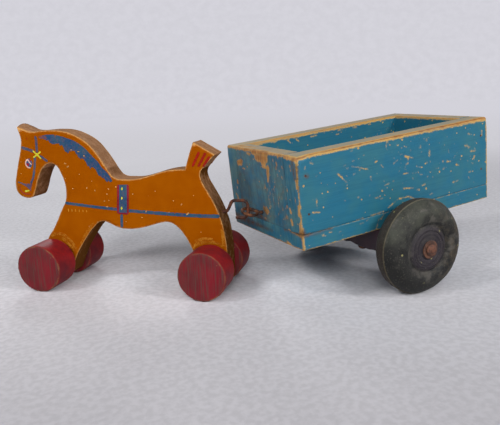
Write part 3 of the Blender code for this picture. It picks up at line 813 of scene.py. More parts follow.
def rust(name, dark, light, scale=260.0):
    """Rough rusted iron with blotches of two browns and fine pits."""
    material, tree, shader = new_material(name, Metallic=0.25, Specular_IOR_Level=0.4)
    place = add(tree, "TexCoord").outputs["Object"]
    blotch = noise_at(tree, place, scale, 4.0)
    pits = noise_at(tree, place, scale * 6, 3.0)
    dark, light = srgb(*dark), srgb(*light)
    colour = blend(tree, spread(tree, blotch, 0.38, 0.66), dark, light)
    colour = blend(tree, spread(tree, pits, 0.5, 0.75, 0.0, 0.6), colour, dark)
    tree.links.new(colour, shader.inputs["Base Color"])
    tree.links.new(spread(tree, blotch, 0.3, 0.7, 0.5, 0.8), shader.inputs["Roughness"])
    bump = add(tree, "Bump", {"Height": pits, "Distance": 0.2 * MM, "Strength": 0.7})
    tree.links.new(bump.outputs[0], shader.inputs["Normal"])
    return material


def bent(corners, bend, steps=10):
    """Points of a wire's path through the corners, with each inner corner bent to an arc."""
    corners = [Vector(corner) for corner in corners]
    route = [corners[0]]
    for before, corner, after in zip(corners, corners[1:], corners[2:]):
        back = (before - corner).normalized()
        ahead = (after - corner).normalized()
        half = back.angle(ahead) / 2
        reach = bend / math.tan(half)
        centre = corner + (back + ahead).normalized() * bend / math.sin(half)
        start = corner + back * reach - centre
        for step in range(steps + 1):
            turn = Matrix.Rotation((math.pi - 2 * half) * step / steps, 3, ahead.cross(back))
            route.append(centre + turn @ start)
    return [*route, corners[-1]]


def drawn_wire(bm, route, radius, sides=16):
    """A round wire along a path, a little uneven, with rounded ends."""
    across = (route[1] - route[0]).orthogonal()
    last = len(route) - 1
    before = []
    for index, point in enumerate(route):
        ahead = (route[min(index + 1, last)] - route[max(index - 1, 0)]).normalized()
        across = (across - ahead * across.dot(ahead)).normalized()
        turn = Matrix((across, ahead.cross(across), ahead)).transposed().to_4x4()
        rings = [(1.0, 0.0)]
        if index == 0:
            rings = [(0.5, -0.45), (0.85, -0.25), (1.0, 0.0)]
        elif index == last:
            rings = [(1.0, 0.0), (0.85, 0.25), (0.5, 0.45)]
        for size, shift in rings:
            centre = point + ahead * shift * radius
            at = Matrix.Translation(centre) @ turn
            verts = bmesh.ops.create_circle(bm, segments=sides, radius=radius, matrix=at)["verts"]
            for vert in verts:
                swell = 1 - 0.12 * max(0.0, 0.3 + noise.noise(vert.co * 420))
                vert.co = centre + (vert.co - centre) * size * swell
            ring = list({edge for vert in verts for edge in vert.link_edges})
            if before:
                bmesh.ops.bridge_loops(bm, edges=before + ring)
            else:
                bmesh.ops.contextual_create(bm, geom=ring)
            before = ring
    bmesh.ops.contextual_create(bm, geom=before)
    bmesh.ops.recalc_face_normals(bm, faces=bm.faces)


wire_radius, hook_bend = 1.3 * MM, 4.2 * MM
hook_rust = rust("hook_rust", (44, 26, 22), (116, 66, 42))
bm = bmesh.new()
hook_corners = ((8.0, 42.2), (-11.6, 42.2), (-15.6, 51.3), (-28.0, 51.3), (-28.0, 37.8), (-18.6, 37.8))
hook_path = [(forward * MM, 0.0, axle_height + up * MM) for forward, up in hook_corners]
drawn_wire(bm, bent(hook_path, hook_bend), wire_radius)
finish("hook", bm, [hook_rust], "horse", "rusty_steel", "horse_hook", frame_of_piece=horse_frame)

# ---- The cart's box ----
# Two long sides with the end boards between them, nailed to a floor board. All of it is painted
# blue, knocked about in many places and worn to the wood along the rims and the near corner.

# The box leans forward on its axle, which lies this far behind its front and below its floor.
floor_drop, floor_run = 0.093122, 0.995655
axle_back, axle_below = 88.0 * MM, 14.0 * MM
cart_frame = (
    Matrix.Translation(middle("cart_axle"))
    @ Matrix.Rotation(math.atan2(floor_drop, floor_run), 4, "Y")
    @ Matrix.Translation((axle_back, 0.0, axle_below))
)
# The box is laid out in millimetres from the lower front edge of its floor, with the viewer's side
# at positive Y.
cart_length, cart_width, cart_height = 181.0, 108.0, 67.0
floor_thick, side_thick, end_thick = 11.7, 16.0, 14.0
near, far = cart_width / 2, -cart_width / 2
inner, back, top = near - side_thick, -cart_length, cart_height
rng = random.Random(4)


def lines_across(start, end, fine, coarse, margin):
    """Grid lines that lie close together within a margin of both ends."""
    if end - start <= 2 * margin:
        return np.linspace(start, end, max(2, round((end - start) / fine)) + 1)
    outer_cells = round(margin / fine)
    inner_cells = max(1, round((end - start - 2 * margin) / coarse))
    return np.concatenate(
        [
            np.linspace(start, start + margin, outer_cells + 1)[:-1],
            np.linspace(start + margin, end - margin, inner_cells + 1)[:-1],
            np.linspace(end - margin, end, outer_cells + 1),
        ]
    )


unmarked = -3.0


def capsule_depth(places, marks):
    """How far inside the nearest mark each place lies. A mark has two ends, each with its radius."""
    depth = np.full(len(places), unmarked)
    for start, end, start_radius, end_radius in marks:
        start, run = np.array(start), np.array(end) - np.array(start)
        share = np.clip((places - start) @ run / max(run @ run, 1e-9), 0.0, 1.0)
        away = np.linalg.norm(places - start - share[:, None] * run, axis=1)
        depth = np.maximum(depth, start_radius + (end_radius - start_radius) * share - away)
    return depth


rim_sheen_slot, front_slot = 1, 2


def worn_board(low, high, marks, stains, softness, lines, square=(), soak=3.0):
    """A board with eased corners. Marks bare its wood and stains darken it.

    Softness is the radius of its corners at each place, square names the axes along which they stay
    sharp, and soak is how many millimetres a stain fades over."""
    bm = bmesh.new()
    wear = bm.verts.layers.float.new("bare")
    stain_and_shade_layer = bm.verts.layers.float.new("stain_and_shade")
    low, high = np.array(low), np.array(high)
    for axis in range(3):
        first, second = [other for other in range(3) if other != axis]
        for value in (low[axis], high[axis]):
            columns, rows = len(lines[first]) - 1, len(lines[second]) - 1
            verts = bmesh.ops.create_grid(bm, x_segments=columns, y_segments=rows, size=0.5)["verts"]
            for vert in verts:
                column = round((vert.co.x + 0.5) * columns)
                row = round((vert.co.y + 0.5) * rows)
                place = [0.0, 0.0, 0.0]
                place[axis] = value
                place[first] = lines[first][column]
                place[second] = lines[second][row]
                vert.co = place
    bmesh.ops.remove_doubles(bm, verts=bm.verts, dist=0.01)
    places = np.array([vert.co for vert in bm.verts])
    bare = capsule_depth(places, marks)
    stained = capsule_depth(places, stains)
    radius = softness(places)[:, None] * np.ones(3)
    radius[:, list(square)] = 0.0
    inner = np.clip(places, low + radius, high - radius)
    away = places - inner
    reach = np.linalg.norm(away, axis=1)
    limit = radius.max(1)
    scale = np.where(reach > limit, limit / np.maximum(reach, 1e-9), 1.0)
    for index, vert in enumerate(bm.verts):
        place = Vector(inner[index] + away[index] * scale[index])
        ragged = noise.noise(place * 0.22) + 0.6 * noise.noise(place * 0.7)
        vert[wear] = bare[index] + 0.6 * ragged - 0.35 if bare[index] > unmarked + 0.1 else unmarked
        vert[stain_and_shade_layer] = max(0.0, min(1.0, 0.5 + stained[index] / soak + 0.3 * ragged))
        vert.co = place * MM
    bmesh.ops.recalc_face_normals(bm, faces=bm.faces)
    # Faces up at the rim take the rim paint with its painted sheen, faces at the front the front paint.
    for face in bm.faces:
        if face.normal.z > 0.8 and face.calc_center_median().z > (top - 2.0) * MM:
            face.material_index = rim_sheen_slot
        elif face.normal.x > 0.8 and face.calc_center_median().x > -2.0 * MM:
            face.material_index = front_slot
    return bm


def ramp(values, start, end):
    """0 before the start, 1 after the end, smooth between them."""
    share = np.clip((values - start) / (end - start), 0.0, 1.0)
    return share * share * (3 - 2 * share)


def on_side(y, chips):
    """Chips on a long side's face, given as (x, z, along x, along z, radius)."""
    return [
        ((x - dx / 2, y, z - dz / 2), (x + dx / 2, y, z + dz / 2), 0.64 * radius, 0.42 * radius)
        for x, z, dx, dz, radius in chips
    ]


def on_front(chips):
    """Marks on the front's face, given as (y, z, y, z, radius, radius)."""
    return [((0.0, a, b), (0.0, c, d), start, end) for a, b, c, d, start, end in chips]


def scattered(count, y, start, end, bottom, top, size):
    """Small chips here and there on a long face."""
    chips = []
    for _ in range(count):
        angle = rng.uniform(0, math.pi)
        length = size * rng.uniform(0.3, 2.2)
        chips.append(
            (
                rng.uniform(start, end),
                rng.uniform(bottom, top),
                length * math.cos(angle),
                0.7 * length * math.sin(angle),
                size * rng.uniform(0.2, 0.55),
            )
        )
    return on_side(y, chips)


near_chips = (
    (-52.9, 49.6, -13.5, -4.5, 0.65), (-37.0, 45.1, -6.5, -7.0, 1.0), (-97.6, 49.4, -7.0, -2.0, 1.5),
    (-97.4, 46.6, 0.4, -4.0, 1.5), (-138.8, 38.4, -3.0, -0.6, 1.5), (-147.9, 34.0, -2.4, -1.0, 1.5),
    (-86.0, 48.1, -4.0, 1.8, 0.9), (-118.8, 48.4, 0.6, -5.0, 1.0), (-110.3, 54.7, 0.0, -1.5, 0.9),
    (-78.0, 62.4, 1.4, -4.0, 1.0), (-88.6, 59.9, -1.5, 0.5, 0.8), (-67.8, 51.5, -2.5, 0.4, 0.8),
    (-72.7, 47.2, -2.0, -2.0, 1.1), (-47.6, 55.6, -1.5, 0.3, 0.8), (-47.6, 46.2, -1.6, 0.6, 0.8),
    (-52.7, 48.1, -1.0, 0.8, 0.6), (-62.1, 39.8, -1.0, -3.6, 0.8), (-108.5, 39.6, -6.0, -1.6, 0.7),
    (-94.9, 37.4, -5.0, -0.4, 0.6), (-102.8, 36.1, -4.0, -0.4, 0.6), (-110.6, 33.6, -4.0, 0.0, 0.6),
    (-134.4, 33.9, -3.0, 0.6, 0.9), (-132.5, 39.0, 0.0, -1.6, 0.7), (-157.8, 47.2, -4.0, -1.4, 1.0),
    (-160.7, 45.4, -1.6, 0.8, 0.8), (-165.6, 41.8, -4.6, -0.3, 0.9), (-166.1, 36.4, 0.3, -2.6, 1.1),
    (-161.0, 56.3, -2.0, -0.8, 0.9), (-148.2, 64.9, -2.4, -0.6, 1.0), (-175.2, 54.8, 0.2, -4.0, 1.0),
    (-161.4, 25.8, -2.6, 0.0, 0.8), (-160.2, 20.8, -1.0, -1.6, 0.8), (-146.0, 21.0, -7.0, 0.3, 0.6),
    (-76.4, 32.7, -4.0, 0.6, 0.7), (-111.8, 24.9, -3.0, 0.4, 0.9), (-96.6, 25.6, -10.0, -1.6, 0.7),
    (-106.0, 22.6, -3.0, -0.5, 0.7), (-66.3, 24.6, -3.0, -0.3, 0.7), (-70.6, 23.0, -2.6, -0.6, 0.7),
    (-49.7, 28.4, -1.4, 0.6, 0.7), (-13.1, 25.6, -5.0, -1.0, 1.1), (-12.8, 60.5, -2.0, -1.0, 1.3),
    (-7.2, 58.6, -0.4, 1.6, 0.7), (-14.2, 32.0, 0.4, -7.0, 0.35), (-119.5, 16.1, -3.0, 0.4, 0.8),
    (-143.4, 21.0, -2.0, 0.0, 0.5), (-56.9, 58.0, -1.2, 0.2, 0.5), (-46.3, 62.8, -1.6, 0.2, 0.6),
)
near_marks = on_side(near, near_chips)
near_marks += scattered(40, near, -172, -8, 14, 64, 0.7) + scattered(60, near, -176, -80, 30, 64, 0.7)
near_marks += [
    ((-2.0, near, top), (-60.0, near, top), 2.7, 2.4),
    ((-60.0, near, top), (back, near, top), 2.4, 3.2),
    ((0.0, inner, 66.5), (0.0, near, 66.5), 2.0, 3.4),
    ((0.0, near, top), (-1.0, near, 62.0), 4.0, 1.6),
    ((0.0, near, 62.0), (0.0, near, 44.0), 1.2, 0.8),
    ((0.0, 52.9, 50.0), (0.0, 52.5, 45.0), 1.3, 1.0),
    ((0.0, near, 44.0), (0.0, near, 32.0), 0.7, 0.9),
    ((0.0, 53.0, 32.0), (0.0, 52.4, 26.5), 1.6, 1.7),
    ((0.0, near, 26.0), (0.0, near, 19.0), 0.9, 1.2),
    ((0.0, 52.6, 19.0), (-0.4, 52.0, 12.0), 1.6, 2.5),
    ((0.0, 51.0, 13.0), (0.0, near, 16.0), 1.0, 2.2),
    ((back, near, top), (back, near, 12.0), 1.7, 1.5),
    ((back, inner, top), (back, near, top), 1.6, 1.6),
    ((0.0, inner, top), (back, inner, top), 1.2, 1.4),
    ((-4.0, near, floor_thick), (-30.0, near, floor_thick), 0.3, -0.2),
    ((-47.0, near, floor_thick), (-52.0, near, 12.4), 0.5, 0.5),
    ((-60.0, near, 12.2), (-70.0, near, 13.0), 0.7, 0.6),
]
near_marks += on_side(
    near, ((-81.5, 17.3, -9.0, 4.0, 1.0), (-92.0, 19.2, -9.0, -0.6, 1.1), (-101.0, 17.0, -7.0, -3.0, 0.9))
)
near_marks += on_front(
    (
        (40.4, 28.6, 41.5, 26.0, 1.2, 1.5), (41.0, 20.4, 42.0, 17.6, 1.5, 1.4), (39.3, 43.0, 39.5, 41.8, 0.9, 0.8),
        (46.0, 60.0, 46.8, 57.0, 0.8, 0.5), (49.0, 38.0, 49.5, 34.0, 0.6, 0.4),
    )
)
near_stains = [
    ((0.0, 49.5, 64.0), (0.0, 51.0, 52.0), 1.8, 0.8),
    ((0.0, near, 60.0), (0.0, near, 40.0), 2.0, 0.2),
    ((-7.4, near, 52.6), (-8.4, near, 52.4), 1.2, 1.1),
    ((0.0, near, 14.0), (0.0, near, 12.0), 2.5, 3.0),
    ((-2.0, near, top), (back, near, top), -0.4, -0.4),
    ((0.0, near, 44.0), (0.0, near, 12.0), -0.3, 0.0),
]


def near_rim(places):
    """1 along the upper rims and 0 well below them."""
    return ramp(places[:, 2], 58.0, 64.0)


def near_softness(places):
    """The rims are soft, and the near corner is rounded, most of all at its top."""
    height = places[:, 2] / top
    front = ramp(places[:, 0], -12.0, -6.0)
    outer = ramp(places[:, 1], 40.0, 47.0)
    corner = 0.5 + outer * (0.9 + 4.2 * height**3)
    rims = 0.7 + 1.1 * near_rim(places)
    return corner * front + rims * (1 - front)


def plain_softness(places):
    """The far side, soft along its rim."""
    return 0.7 + 1.0 * near_rim(places)


def end_softness(places):
    """The end boards, a little sharper than the sides."""
    return 0.4 + 1.3 * near_rim(places)


def cart_paint(name, paint_frame, colours, edge_highlight_wood, brush_lines):
    """The box's paint with its brush lines, its wood paler at the edges of worn places: partly freshly bared wood,
    partly a painted highlight.
    """
    return painted_wood(name, paint_frame, colours, 1.7, 0.14, 420.0, 0.3, brush_lines, edge_highlight_wood)


side_colours = ((28, 103, 130), (44, 108, 124), (190, 142, 80), (158, 100, 48))
# The rims' upward faces: pale worn paint, painted paler and greyer as a reflection of the light on them.
rim_colours_with_sheen = ((144, 136, 110), (162, 144, 106), (188, 142, 80), (164, 114, 58))
front_colours = ((26, 106, 138), (84, 130, 134), (204, 146, 78), (178, 116, 56))
box_paints = [
    cart_paint("blue_paint", cart_frame, side_colours, (192, 156, 90), (0.3, (16, 84, 112))),
    cart_paint("rim_paint_with_sheen", cart_frame, rim_colours_with_sheen, (200, 158, 94), (0.3, (104, 104, 86))),
    cart_paint("front_paint", cart_frame @ upright, front_colours, (200, 152, 90), (0.5, (16, 66, 84))),
]

fine, margin = 0.8, 9.0
side_lines = (
    lines_across(back, 0.0, fine, fine, margin),
    lines_across(inner, near, fine, fine, margin),
    lines_across(floor_thick, top, fine, fine, margin),
)
bm = worn_board((back, inner, floor_thick), (0.0, near, top), near_marks, near_stains, near_softness, side_lines)
finish("cart_side_left_dressed", bm, box_paints, "cart", "blue_paint", "cart_side_left", frame_of_piece=cart_frame)

far_marks = scattered(60, -inner, -172, -16, 24, 66, 0.9) + scattered(60, far, -172, -8, 14, 64, 1.1)
far_marks += on_side(
    -inner,
    (
        (-23.2, 65.8, -5.0, 0.0, 1.6), (-40.0, 65.6, -7.0, 0.6, 2.2), (-50.6, 62.7, -3.0, -3.0, 1.2),
        (-59.3, 62.3, -2.0, -2.0, 1.0), (-76.0, 63.0, -6.0, 0.0, 1.2), (-104.0, 63.8, -5.0, 0.4, 1.1),
        (-101.0, 60.9, -3.0, 0.4, 0.8), (-120.5, 63.4, -4.0, 0.0, 0.9), (-137.6, 64.1, -3.0, 0.0, 0.8),
    ),
)
far_marks += [
    ((0.0, -inner, top), (back, -inner, top), 2.6, 2.2),
    ((0.0, far, top), (back, far, top), 2.2, 2.4),
    ((0.0, far, 66.0), (0.0, far, 12.0), 1.2, 1.2),
    ((back, far, 66.0), (back, far, 12.0), 1.2, 1.2),
    ((0.0, far, 66.6), (0.0, -inner, 66.6), 2.0, 2.0),
    ((back, far, top), (back, -inner, top), 1.6, 1.6),
]
far_marks += on_front(
    (
        (-40.7, 37.7, -40.9, 36.8, 1.8, 1.6), (-43.3, 32.6, -43.2, 31.4, 1.3, 1.2),
        (-44.6, 25.5, -43.6, 20.6, 1.3, 1.4),
    )
)
far_lines = (side_lines[0], lines_across(far, -inner, fine, fine, margin), side_lines[2])
bm = worn_board((back, far, floor_thick), (0.0, -inner, top), far_marks, [], plain_softness, far_lines)
finish("cart_side_right_dressed", bm, box_paints, "cart", "blue_paint", "cart_side_right", frame_of_piece=cart_frame)

front_marks = on_front(
    (
        (-7.0, 66.0, 15.0, 67.0, 3.4, 3.4), (-2.0, 61.5, 12.0, 62.0, 3.4, 3.6), (7.0, 59.0, 10.0, 57.5, 3.2, 2.2),
        (6.0, 55.5, 14.0, 55.0, 1.4, 1.4), (14.5, 55.0, 12.4, 45.0, 2.6, 1.4), (-35.0, 54.0, -30.0, 54.5, 2.6, 2.8),
        (-30.0, 56.5, -27.0, 56.0, 1.2, 1.0), (-28.5, 50.5, -24.0, 50.0, 0.8, 0.6),
        (-17.0, 63.6, -12.0, 63.0, 1.2, 1.0),
        (23.3, 62.0, 24.0, 60.8, 1.0, 0.7), (27.7, 60.1, 28.3, 58.8, 1.1, 0.7), (26.2, 57.0, 26.6, 55.6, 0.9, 0.7),
        (33.7, 51.1, 34.6, 49.4, 0.9, 0.7), (27.6, 52.0, 28.4, 50.8, 1.0, 0.7), (30.4, 65.1, 31.0, 63.6, 1.0, 0.5),
        (35.2, 58.5, 35.6, 57.0, 0.7, 0.4), (17.8, 36.5, 17.9, 30.0, 0.3, 0.3), (1.5, 22.5, 5.5, 19.5, 1.8, 1.9),
        (5.0, 23.5, 8.0, 20.5, 0.9, 1.3), (-8.0, 15.4, 3.0, 14.0, 0.7, 0.5), (37.0, 30.0, 37.6, 28.4, 0.9, 0.6),
        (35.8, 12.4, 38.0, 12.0, 0.8, 0.9),
    )
)
front_marks += [
    ((0.0, -inner, top), (0.0, inner, top), 2.6, 2.0),
    ((-end_thick, -inner, top), (-end_thick, inner, top), 1.4, 1.0),
    ((-4.0, -inner, top), (-6.0, -14.0, top), 2.6, 1.4),
]
for _ in range(70):
    y, z = rng.uniform(2.0, 37.0), rng.uniform(14.0, 46.0)
    upper = z + rng.uniform(0.3, 2.5)
    front_marks.append(((0.0, y, z), (0.0, y + rng.uniform(-0.5, 0.5), upper), rng.uniform(0.15, 0.6), 0.25))
front_stains = on_front(
    (
        (1.0, 22.0, 4.0, 17.0, 3.0, 3.0), (-38.0, 18.0, 2.0, 12.0, 3.5, 3.0), (-36.0, 56.0, -35.0, 24.0, -2.0, -1.5),
        (-16.0, 44.0, -14.0, 30.0, -3.5, -3.0), (-36.0, 24.0, -10.0, 22.0, 0.0, -2.0),
    )
)
end_lines = (
    lines_across(-end_thick, 0.0, fine, fine, margin),
    lines_across(-inner, inner, fine, fine, margin),
    side_lines[2],
)
corners = (-end_thick, -inner, floor_thick), (0.0, inner, top)
bm = worn_board(*corners, front_marks, front_stains, end_softness, end_lines, square=(1,), soak=10.0)
finish("cart_front_dressed", bm, box_paints, "cart", "blue_paint", "cart_front_board", frame_of_piece=cart_frame)

back_inner = back + end_thick
back_marks = [
    ((back, -inner, top), (back, inner, top), 2.4, 2.4),
    ((back_inner, -inner, top), (back_inner, inner, top), 2.2, 1.8),
]
for _ in range(60):
    y, z = rng.uniform(-36, 36), rng.uniform(14, 64)
    end = (back, y + rng.uniform(-2, 2), z + rng.uniform(-2, 2))
    back_marks.append(((back, y, z), end, rng.uniform(0.3, 1.3), 0.4))
back_lines = (
    lines_across(back, back_inner, fine, fine, margin),
    lines_across(-inner, inner, fine, 1.4, margin),
    lines_across(floor_thick, top, fine, 1.4, margin),
)
corners = (back, -inner, floor_thick), (back_inner, inner, top)
bm = worn_board(*corners, back_marks, [], end_softness, back_lines, square=(1,))
finish("cart_back_dressed", bm, box_paints, "cart", "blue_paint", "cart_back_board", frame_of_piece=cart_frame)

floor_marks = on_side(
    near,
    (
        (-51.3, 8.6, -3.0, 0.5, 0.9), (-56.5, 9.9, -2.0, 0.4, 0.8), (-16.9, 8.2, -2.0, 0.4, 0.8),
        (-22.9, 8.6, -2.0, 0.0, 0.8), (-19.3, 7.1, -2.4, 0.4, 0.7), (-31.4, 6.8, -2.0, 0.6, 0.7),
        (-66.0, 5.5, -2.0, 5.0, 1.0), (-70.4, 9.4, -3.0, 3.0, 1.1), (-64.0, 1.0, -1.0, 5.0, 1.3),
    ),
)
floor_marks += [
    ((0.0, near, 0.0), (back, near, 0.0), 1.0, 0.7),
    ((0.0, near, 0.0), (0.0, near, floor_thick), 1.9, 1.2),
    ((0.0, far, 0.0), (0.0, near, 0.0), 0.7, 1.4),
    ((0.0, far, 0.0), (back, far, 0.0), 0.8, 0.8),
    ((0.0, far, 0.0), (0.0, far, floor_thick), 1.0, 1.0),
    ((back, near, 0.0), (back, near, floor_thick), 1.0, 1.0),
    ((back, far, 0.0), (back, near, 0.0), 0.8, 0.8),
    ((-4.0, near, floor_thick), (back, near, floor_thick), 0.1, 0.1),
]
floor_marks += on_front(
    (
        (32.5, 2.0, 36.6, 0.6, 1.4, 1.6), (46.0, 10.8, 52.0, 11.4, 0.8, 1.6), (20.0, 1.0, 24.0, 0.6, 0.9, 0.7),
        (39.0, 11.6, 44.0, 11.4, 0.6, 0.8),
    )
)
for _ in range(40):
    x, y = rng.uniform(-165, -16), rng.uniform(-36, 36)
    end = (x + rng.uniform(-5, 5), y + rng.uniform(-1, 1), floor_thick)
    floor_marks.append(((x, y, floor_thick), end, rng.uniform(0.3, 1.0), 0.3))
floor_lines = (
    lines_across(back, 0.0, fine, 1.2, margin),
    lines_across(far, near, fine, 1.8, 6.0),
    lines_across(0.0, floor_thick, fine, fine, margin),
)
floor_stains = [
    ((0.0, near, floor_thick), (-24.0, near, floor_thick), 1.6, 0.8),
    ((0.0, 30.0, floor_thick), (0.0, near, floor_thick), 0.8, 1.6),
    ((0.0, far, 6.0), (0.0, 10.0, 6.0), 3.0, 0.5),
]


def floor_softness(places):
    """The floor board, rounded more at its near front corner."""
    corner = ramp(places[:, 0], -12.0, -6.0) * ramp(places[:, 1], 44.0, 50.0)
    return 0.8 + 0.7 * corner


corners = (back, far, 0.0), (0.0, near, floor_thick)
bm = worn_board(*corners, floor_marks, floor_stains, floor_softness, floor_lines)
finish("cart_floor_dressed", bm, box_paints, "cart", "blue_paint", "cart_floor", frame_of_piece=cart_frame)

# ---- The nails and screws ----
# Wire nails hold the sides to the end boards and the floor, and four screws hold the axle block.
# Their heads are flush and were painted over. Rust has come through on most of them.

nail_rust = rust("nail_rust", (66, 40, 30), (120, 72, 44), 420.0)
head_radius, shank_radius, head_thick, point_length = 2.1, 0.9, 0.8, 2.0
nail_steps = 20
bm = bmesh.new()
nails = [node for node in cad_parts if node.startswith(("nail_", "floor_nail_"))]
to_cart = cart_frame.inverted()
for node in nails:
    copied = bmesh.new()
    copied.from_mesh(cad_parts[node].data)
    bmesh.ops.transform(copied, matrix=to_cart, verts=copied.verts)
    places = np.array([vert.co for vert in copied.verts]) / MM
    copied.free()
    low, high = places.min(0), places.max(0)
    axis = int(np.argmax(high - low))
    centre = (low + high) / 2
    # The floor's nails are driven upwards and the sides' nails inwards.
    outward = -1.0 if axis == 2 else math.copysign(1.0, centre[axis])
    head = Vector(centre)
    head[axis] = (high if outward > 0 else low)[axis]
    length = float((high - low)[axis])
    along = Vector((0.0, 0.0, 0.0))
    along[axis] = outward
    turn = Vector((0.0, 1.0, 0.0)).rotation_difference(along).to_matrix().to_4x4()
    shape = (
        (0.0, 0.12), (0.9, 0.1), (1.6, 0.04), (head_radius, -0.15), (head_radius, -head_thick),
        (shank_radius, -head_thick - 0.4), (shank_radius, point_length - length), (0.0, -length),
    )
    shape = [(radius * MM, step * MM) for radius, step in shape]
    turned(bm, shape, Matrix.Translation(head * MM) @ turn, nail_steps)
finish("box_nails", bm, [nail_rust], "cart", "rusty_steel", *nails, frame_of_piece=cart_frame)

screw_metal = rust("screw_rust", (60, 40, 34), (110, 74, 52), 420.0)
for node in [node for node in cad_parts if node.startswith("block_screw")]:
    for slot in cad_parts[node].material_slots:
        slot.material = screw_metal

# ---- The axle block ----
# A dark painted bar of wood across the underside. The iron axle passes through it.

block_colours = ((44, 28, 38), (56, 36, 42), (96, 62, 50), (60, 38, 34))
grain_across = cart_frame @ Matrix.Rotation(math.pi / 2, 4, "Z")
block_paint = painted_wood("block_paint", grain_across, block_colours, ragged=1.0, flecks=0.12, fleck_scale=280.0)
planed_edge, rough_foot, block_slices = 1.2 * MM, 2.2 * MM, 40
bm = bmesh.new()
bm.from_mesh(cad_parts["cart_axle_block"].data)
bmesh.ops.transform(bm, matrix=to_cart, verts=bm.verts)
places = np.array([vert.co for vert in bm.verts])
bm.free()
low, high = places.min(0), places.max(0)
bm = bmesh.new()
wear = bm.verts.layers.float.new("bare")
bmesh.ops.create_cube(bm, size=1.0)
for vert in bm.verts:
    vert.co = [low[axis] if vert.co[axis] < 0 else high[axis] for axis in range(3)]
bmesh.ops.bevel(
    bm,
    geom=bm.edges[:],
    offset=planed_edge,
    offset_type="OFFSET",
    segments=3,
    profile=0.5,
    affect="EDGES",
    material=-1,
)
for step in range(1, block_slices):
    cut = (0.0, low[1] + (high[1] - low[1]) * step / block_slices, 0.0)
    parts = bm.verts[:] + bm.edges[:] + bm.faces[:]
    bmesh.ops.bisect_plane(bm, geom=parts, dist=0.001 * MM, plane_co=cut, plane_no=(0.0, 1.0, 0.0))
for vert in bm.verts:
    vert[wear] = -0.9
    lower = (high[2] - vert.co.z) / (high[2] - low[2])
    ragged = noise.noise(Vector((vert.co.y * 120, vert.co.x * 40, 3.0)))
    vert.co.z += lower * rough_foot * max(0.0, ragged)
finish("axle_block", bm, [block_paint], "cart", "dark_block", "cart_axle_block", frame_of_piece=cart_frame)

# ---- The axle, washers and caps ----
# A straight iron rod with a thin washer on each side of both wheels and a domed cap hammered on
# each end. All of it is brown with rust, and the caps are rubbed redder.

axle_rust = rust("axle_rust", (70, 46, 36), (126, 82, 56))
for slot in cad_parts["cart_axle"].material_slots:
    slot.material = axle_rust
washer_rust = rust("washer_rust", (68, 46, 38), (112, 76, 58), 200.0)
cap_rust = rust("cap_rust", (62, 44, 38), (112, 72, 55), 240.0)
washer_hole, washer_edge, washer_dents = 3.0 * MM, 0.3 * MM, 0.1 * MM
for node in [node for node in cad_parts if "washer" in node]:
    low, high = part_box(node)
    half = (high.y - low.y) / 2
    bm = bmesh.new()
    shape = [(washer_hole, half), *rounded_end((high.x - low.x) / 2, half, washer_edge)]
    shape += [(radius, -along) for radius, along in reversed(shape)]
    for vert in turned(bm, shape, Matrix.Translation(middle(node)), 64):
        vert.co.y += washer_dents * noise.noise(vert.co * 260)
    finish(node + "_dressed", bm, [washer_rust], "cart", "rusty_steel", node)
cap_dents = 0.25 * MM
for node in ("axle_cap_left", "axle_cap_right"):
    low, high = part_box(node)
    outward = 1 if node.endswith("left") else -1
    tall = high.y - low.y
    outer = (high.x - low.x) / 2
    bm = bmesh.new()
    shape = [(0.0, tall), (1.0 * MM, tall - 0.06 * MM), (1.7 * MM, tall - 0.2 * MM), (2.1 * MM, tall - 0.75 * MM)]
    shape += [(2.9 * MM, tall - 0.95 * MM), (outer - 0.8 * MM, tall - 1.25 * MM), (outer - 0.2 * MM, tall - 1.7 * MM)]
    shape += [(outer, 0.9 * MM), (outer, 0.3 * MM), (outer - 0.3 * MM, 0.0), (0.0, 0.0)]
    foot = Matrix.Translation((middle(node).x, low.y if outward > 0 else high.y, middle(node).z))
    for vert in turned(bm, shape, foot @ Matrix.Diagonal((1.0, outward, 1.0, 1.0)), 48):
        vert.co.x += cap_dents * noise.noise(vert.co * 300)
        vert.co.z += cap_dents * noise.noise(vert.co * 300 + Vector((5.0, 0.0, 0.0)))
    finish(node + "_dressed", bm, [cap_rust], "cart", "rusty_steel", node)

# ---- The rubber wheels ----
# Two moulded rubber wheels with a fat round tyre, the mould's parting line round the tread, and a
# grooved boss. The rubber has gone dull, with grey-green bloom and brown dirt. The bloom is painted
# strongest above and in front as painted light, painted shade darkens the lower front, and the
# boss's fine grooves are painted as dark rings of shade.


groove_radius, parting_across = 19.5 * MM, 3.1


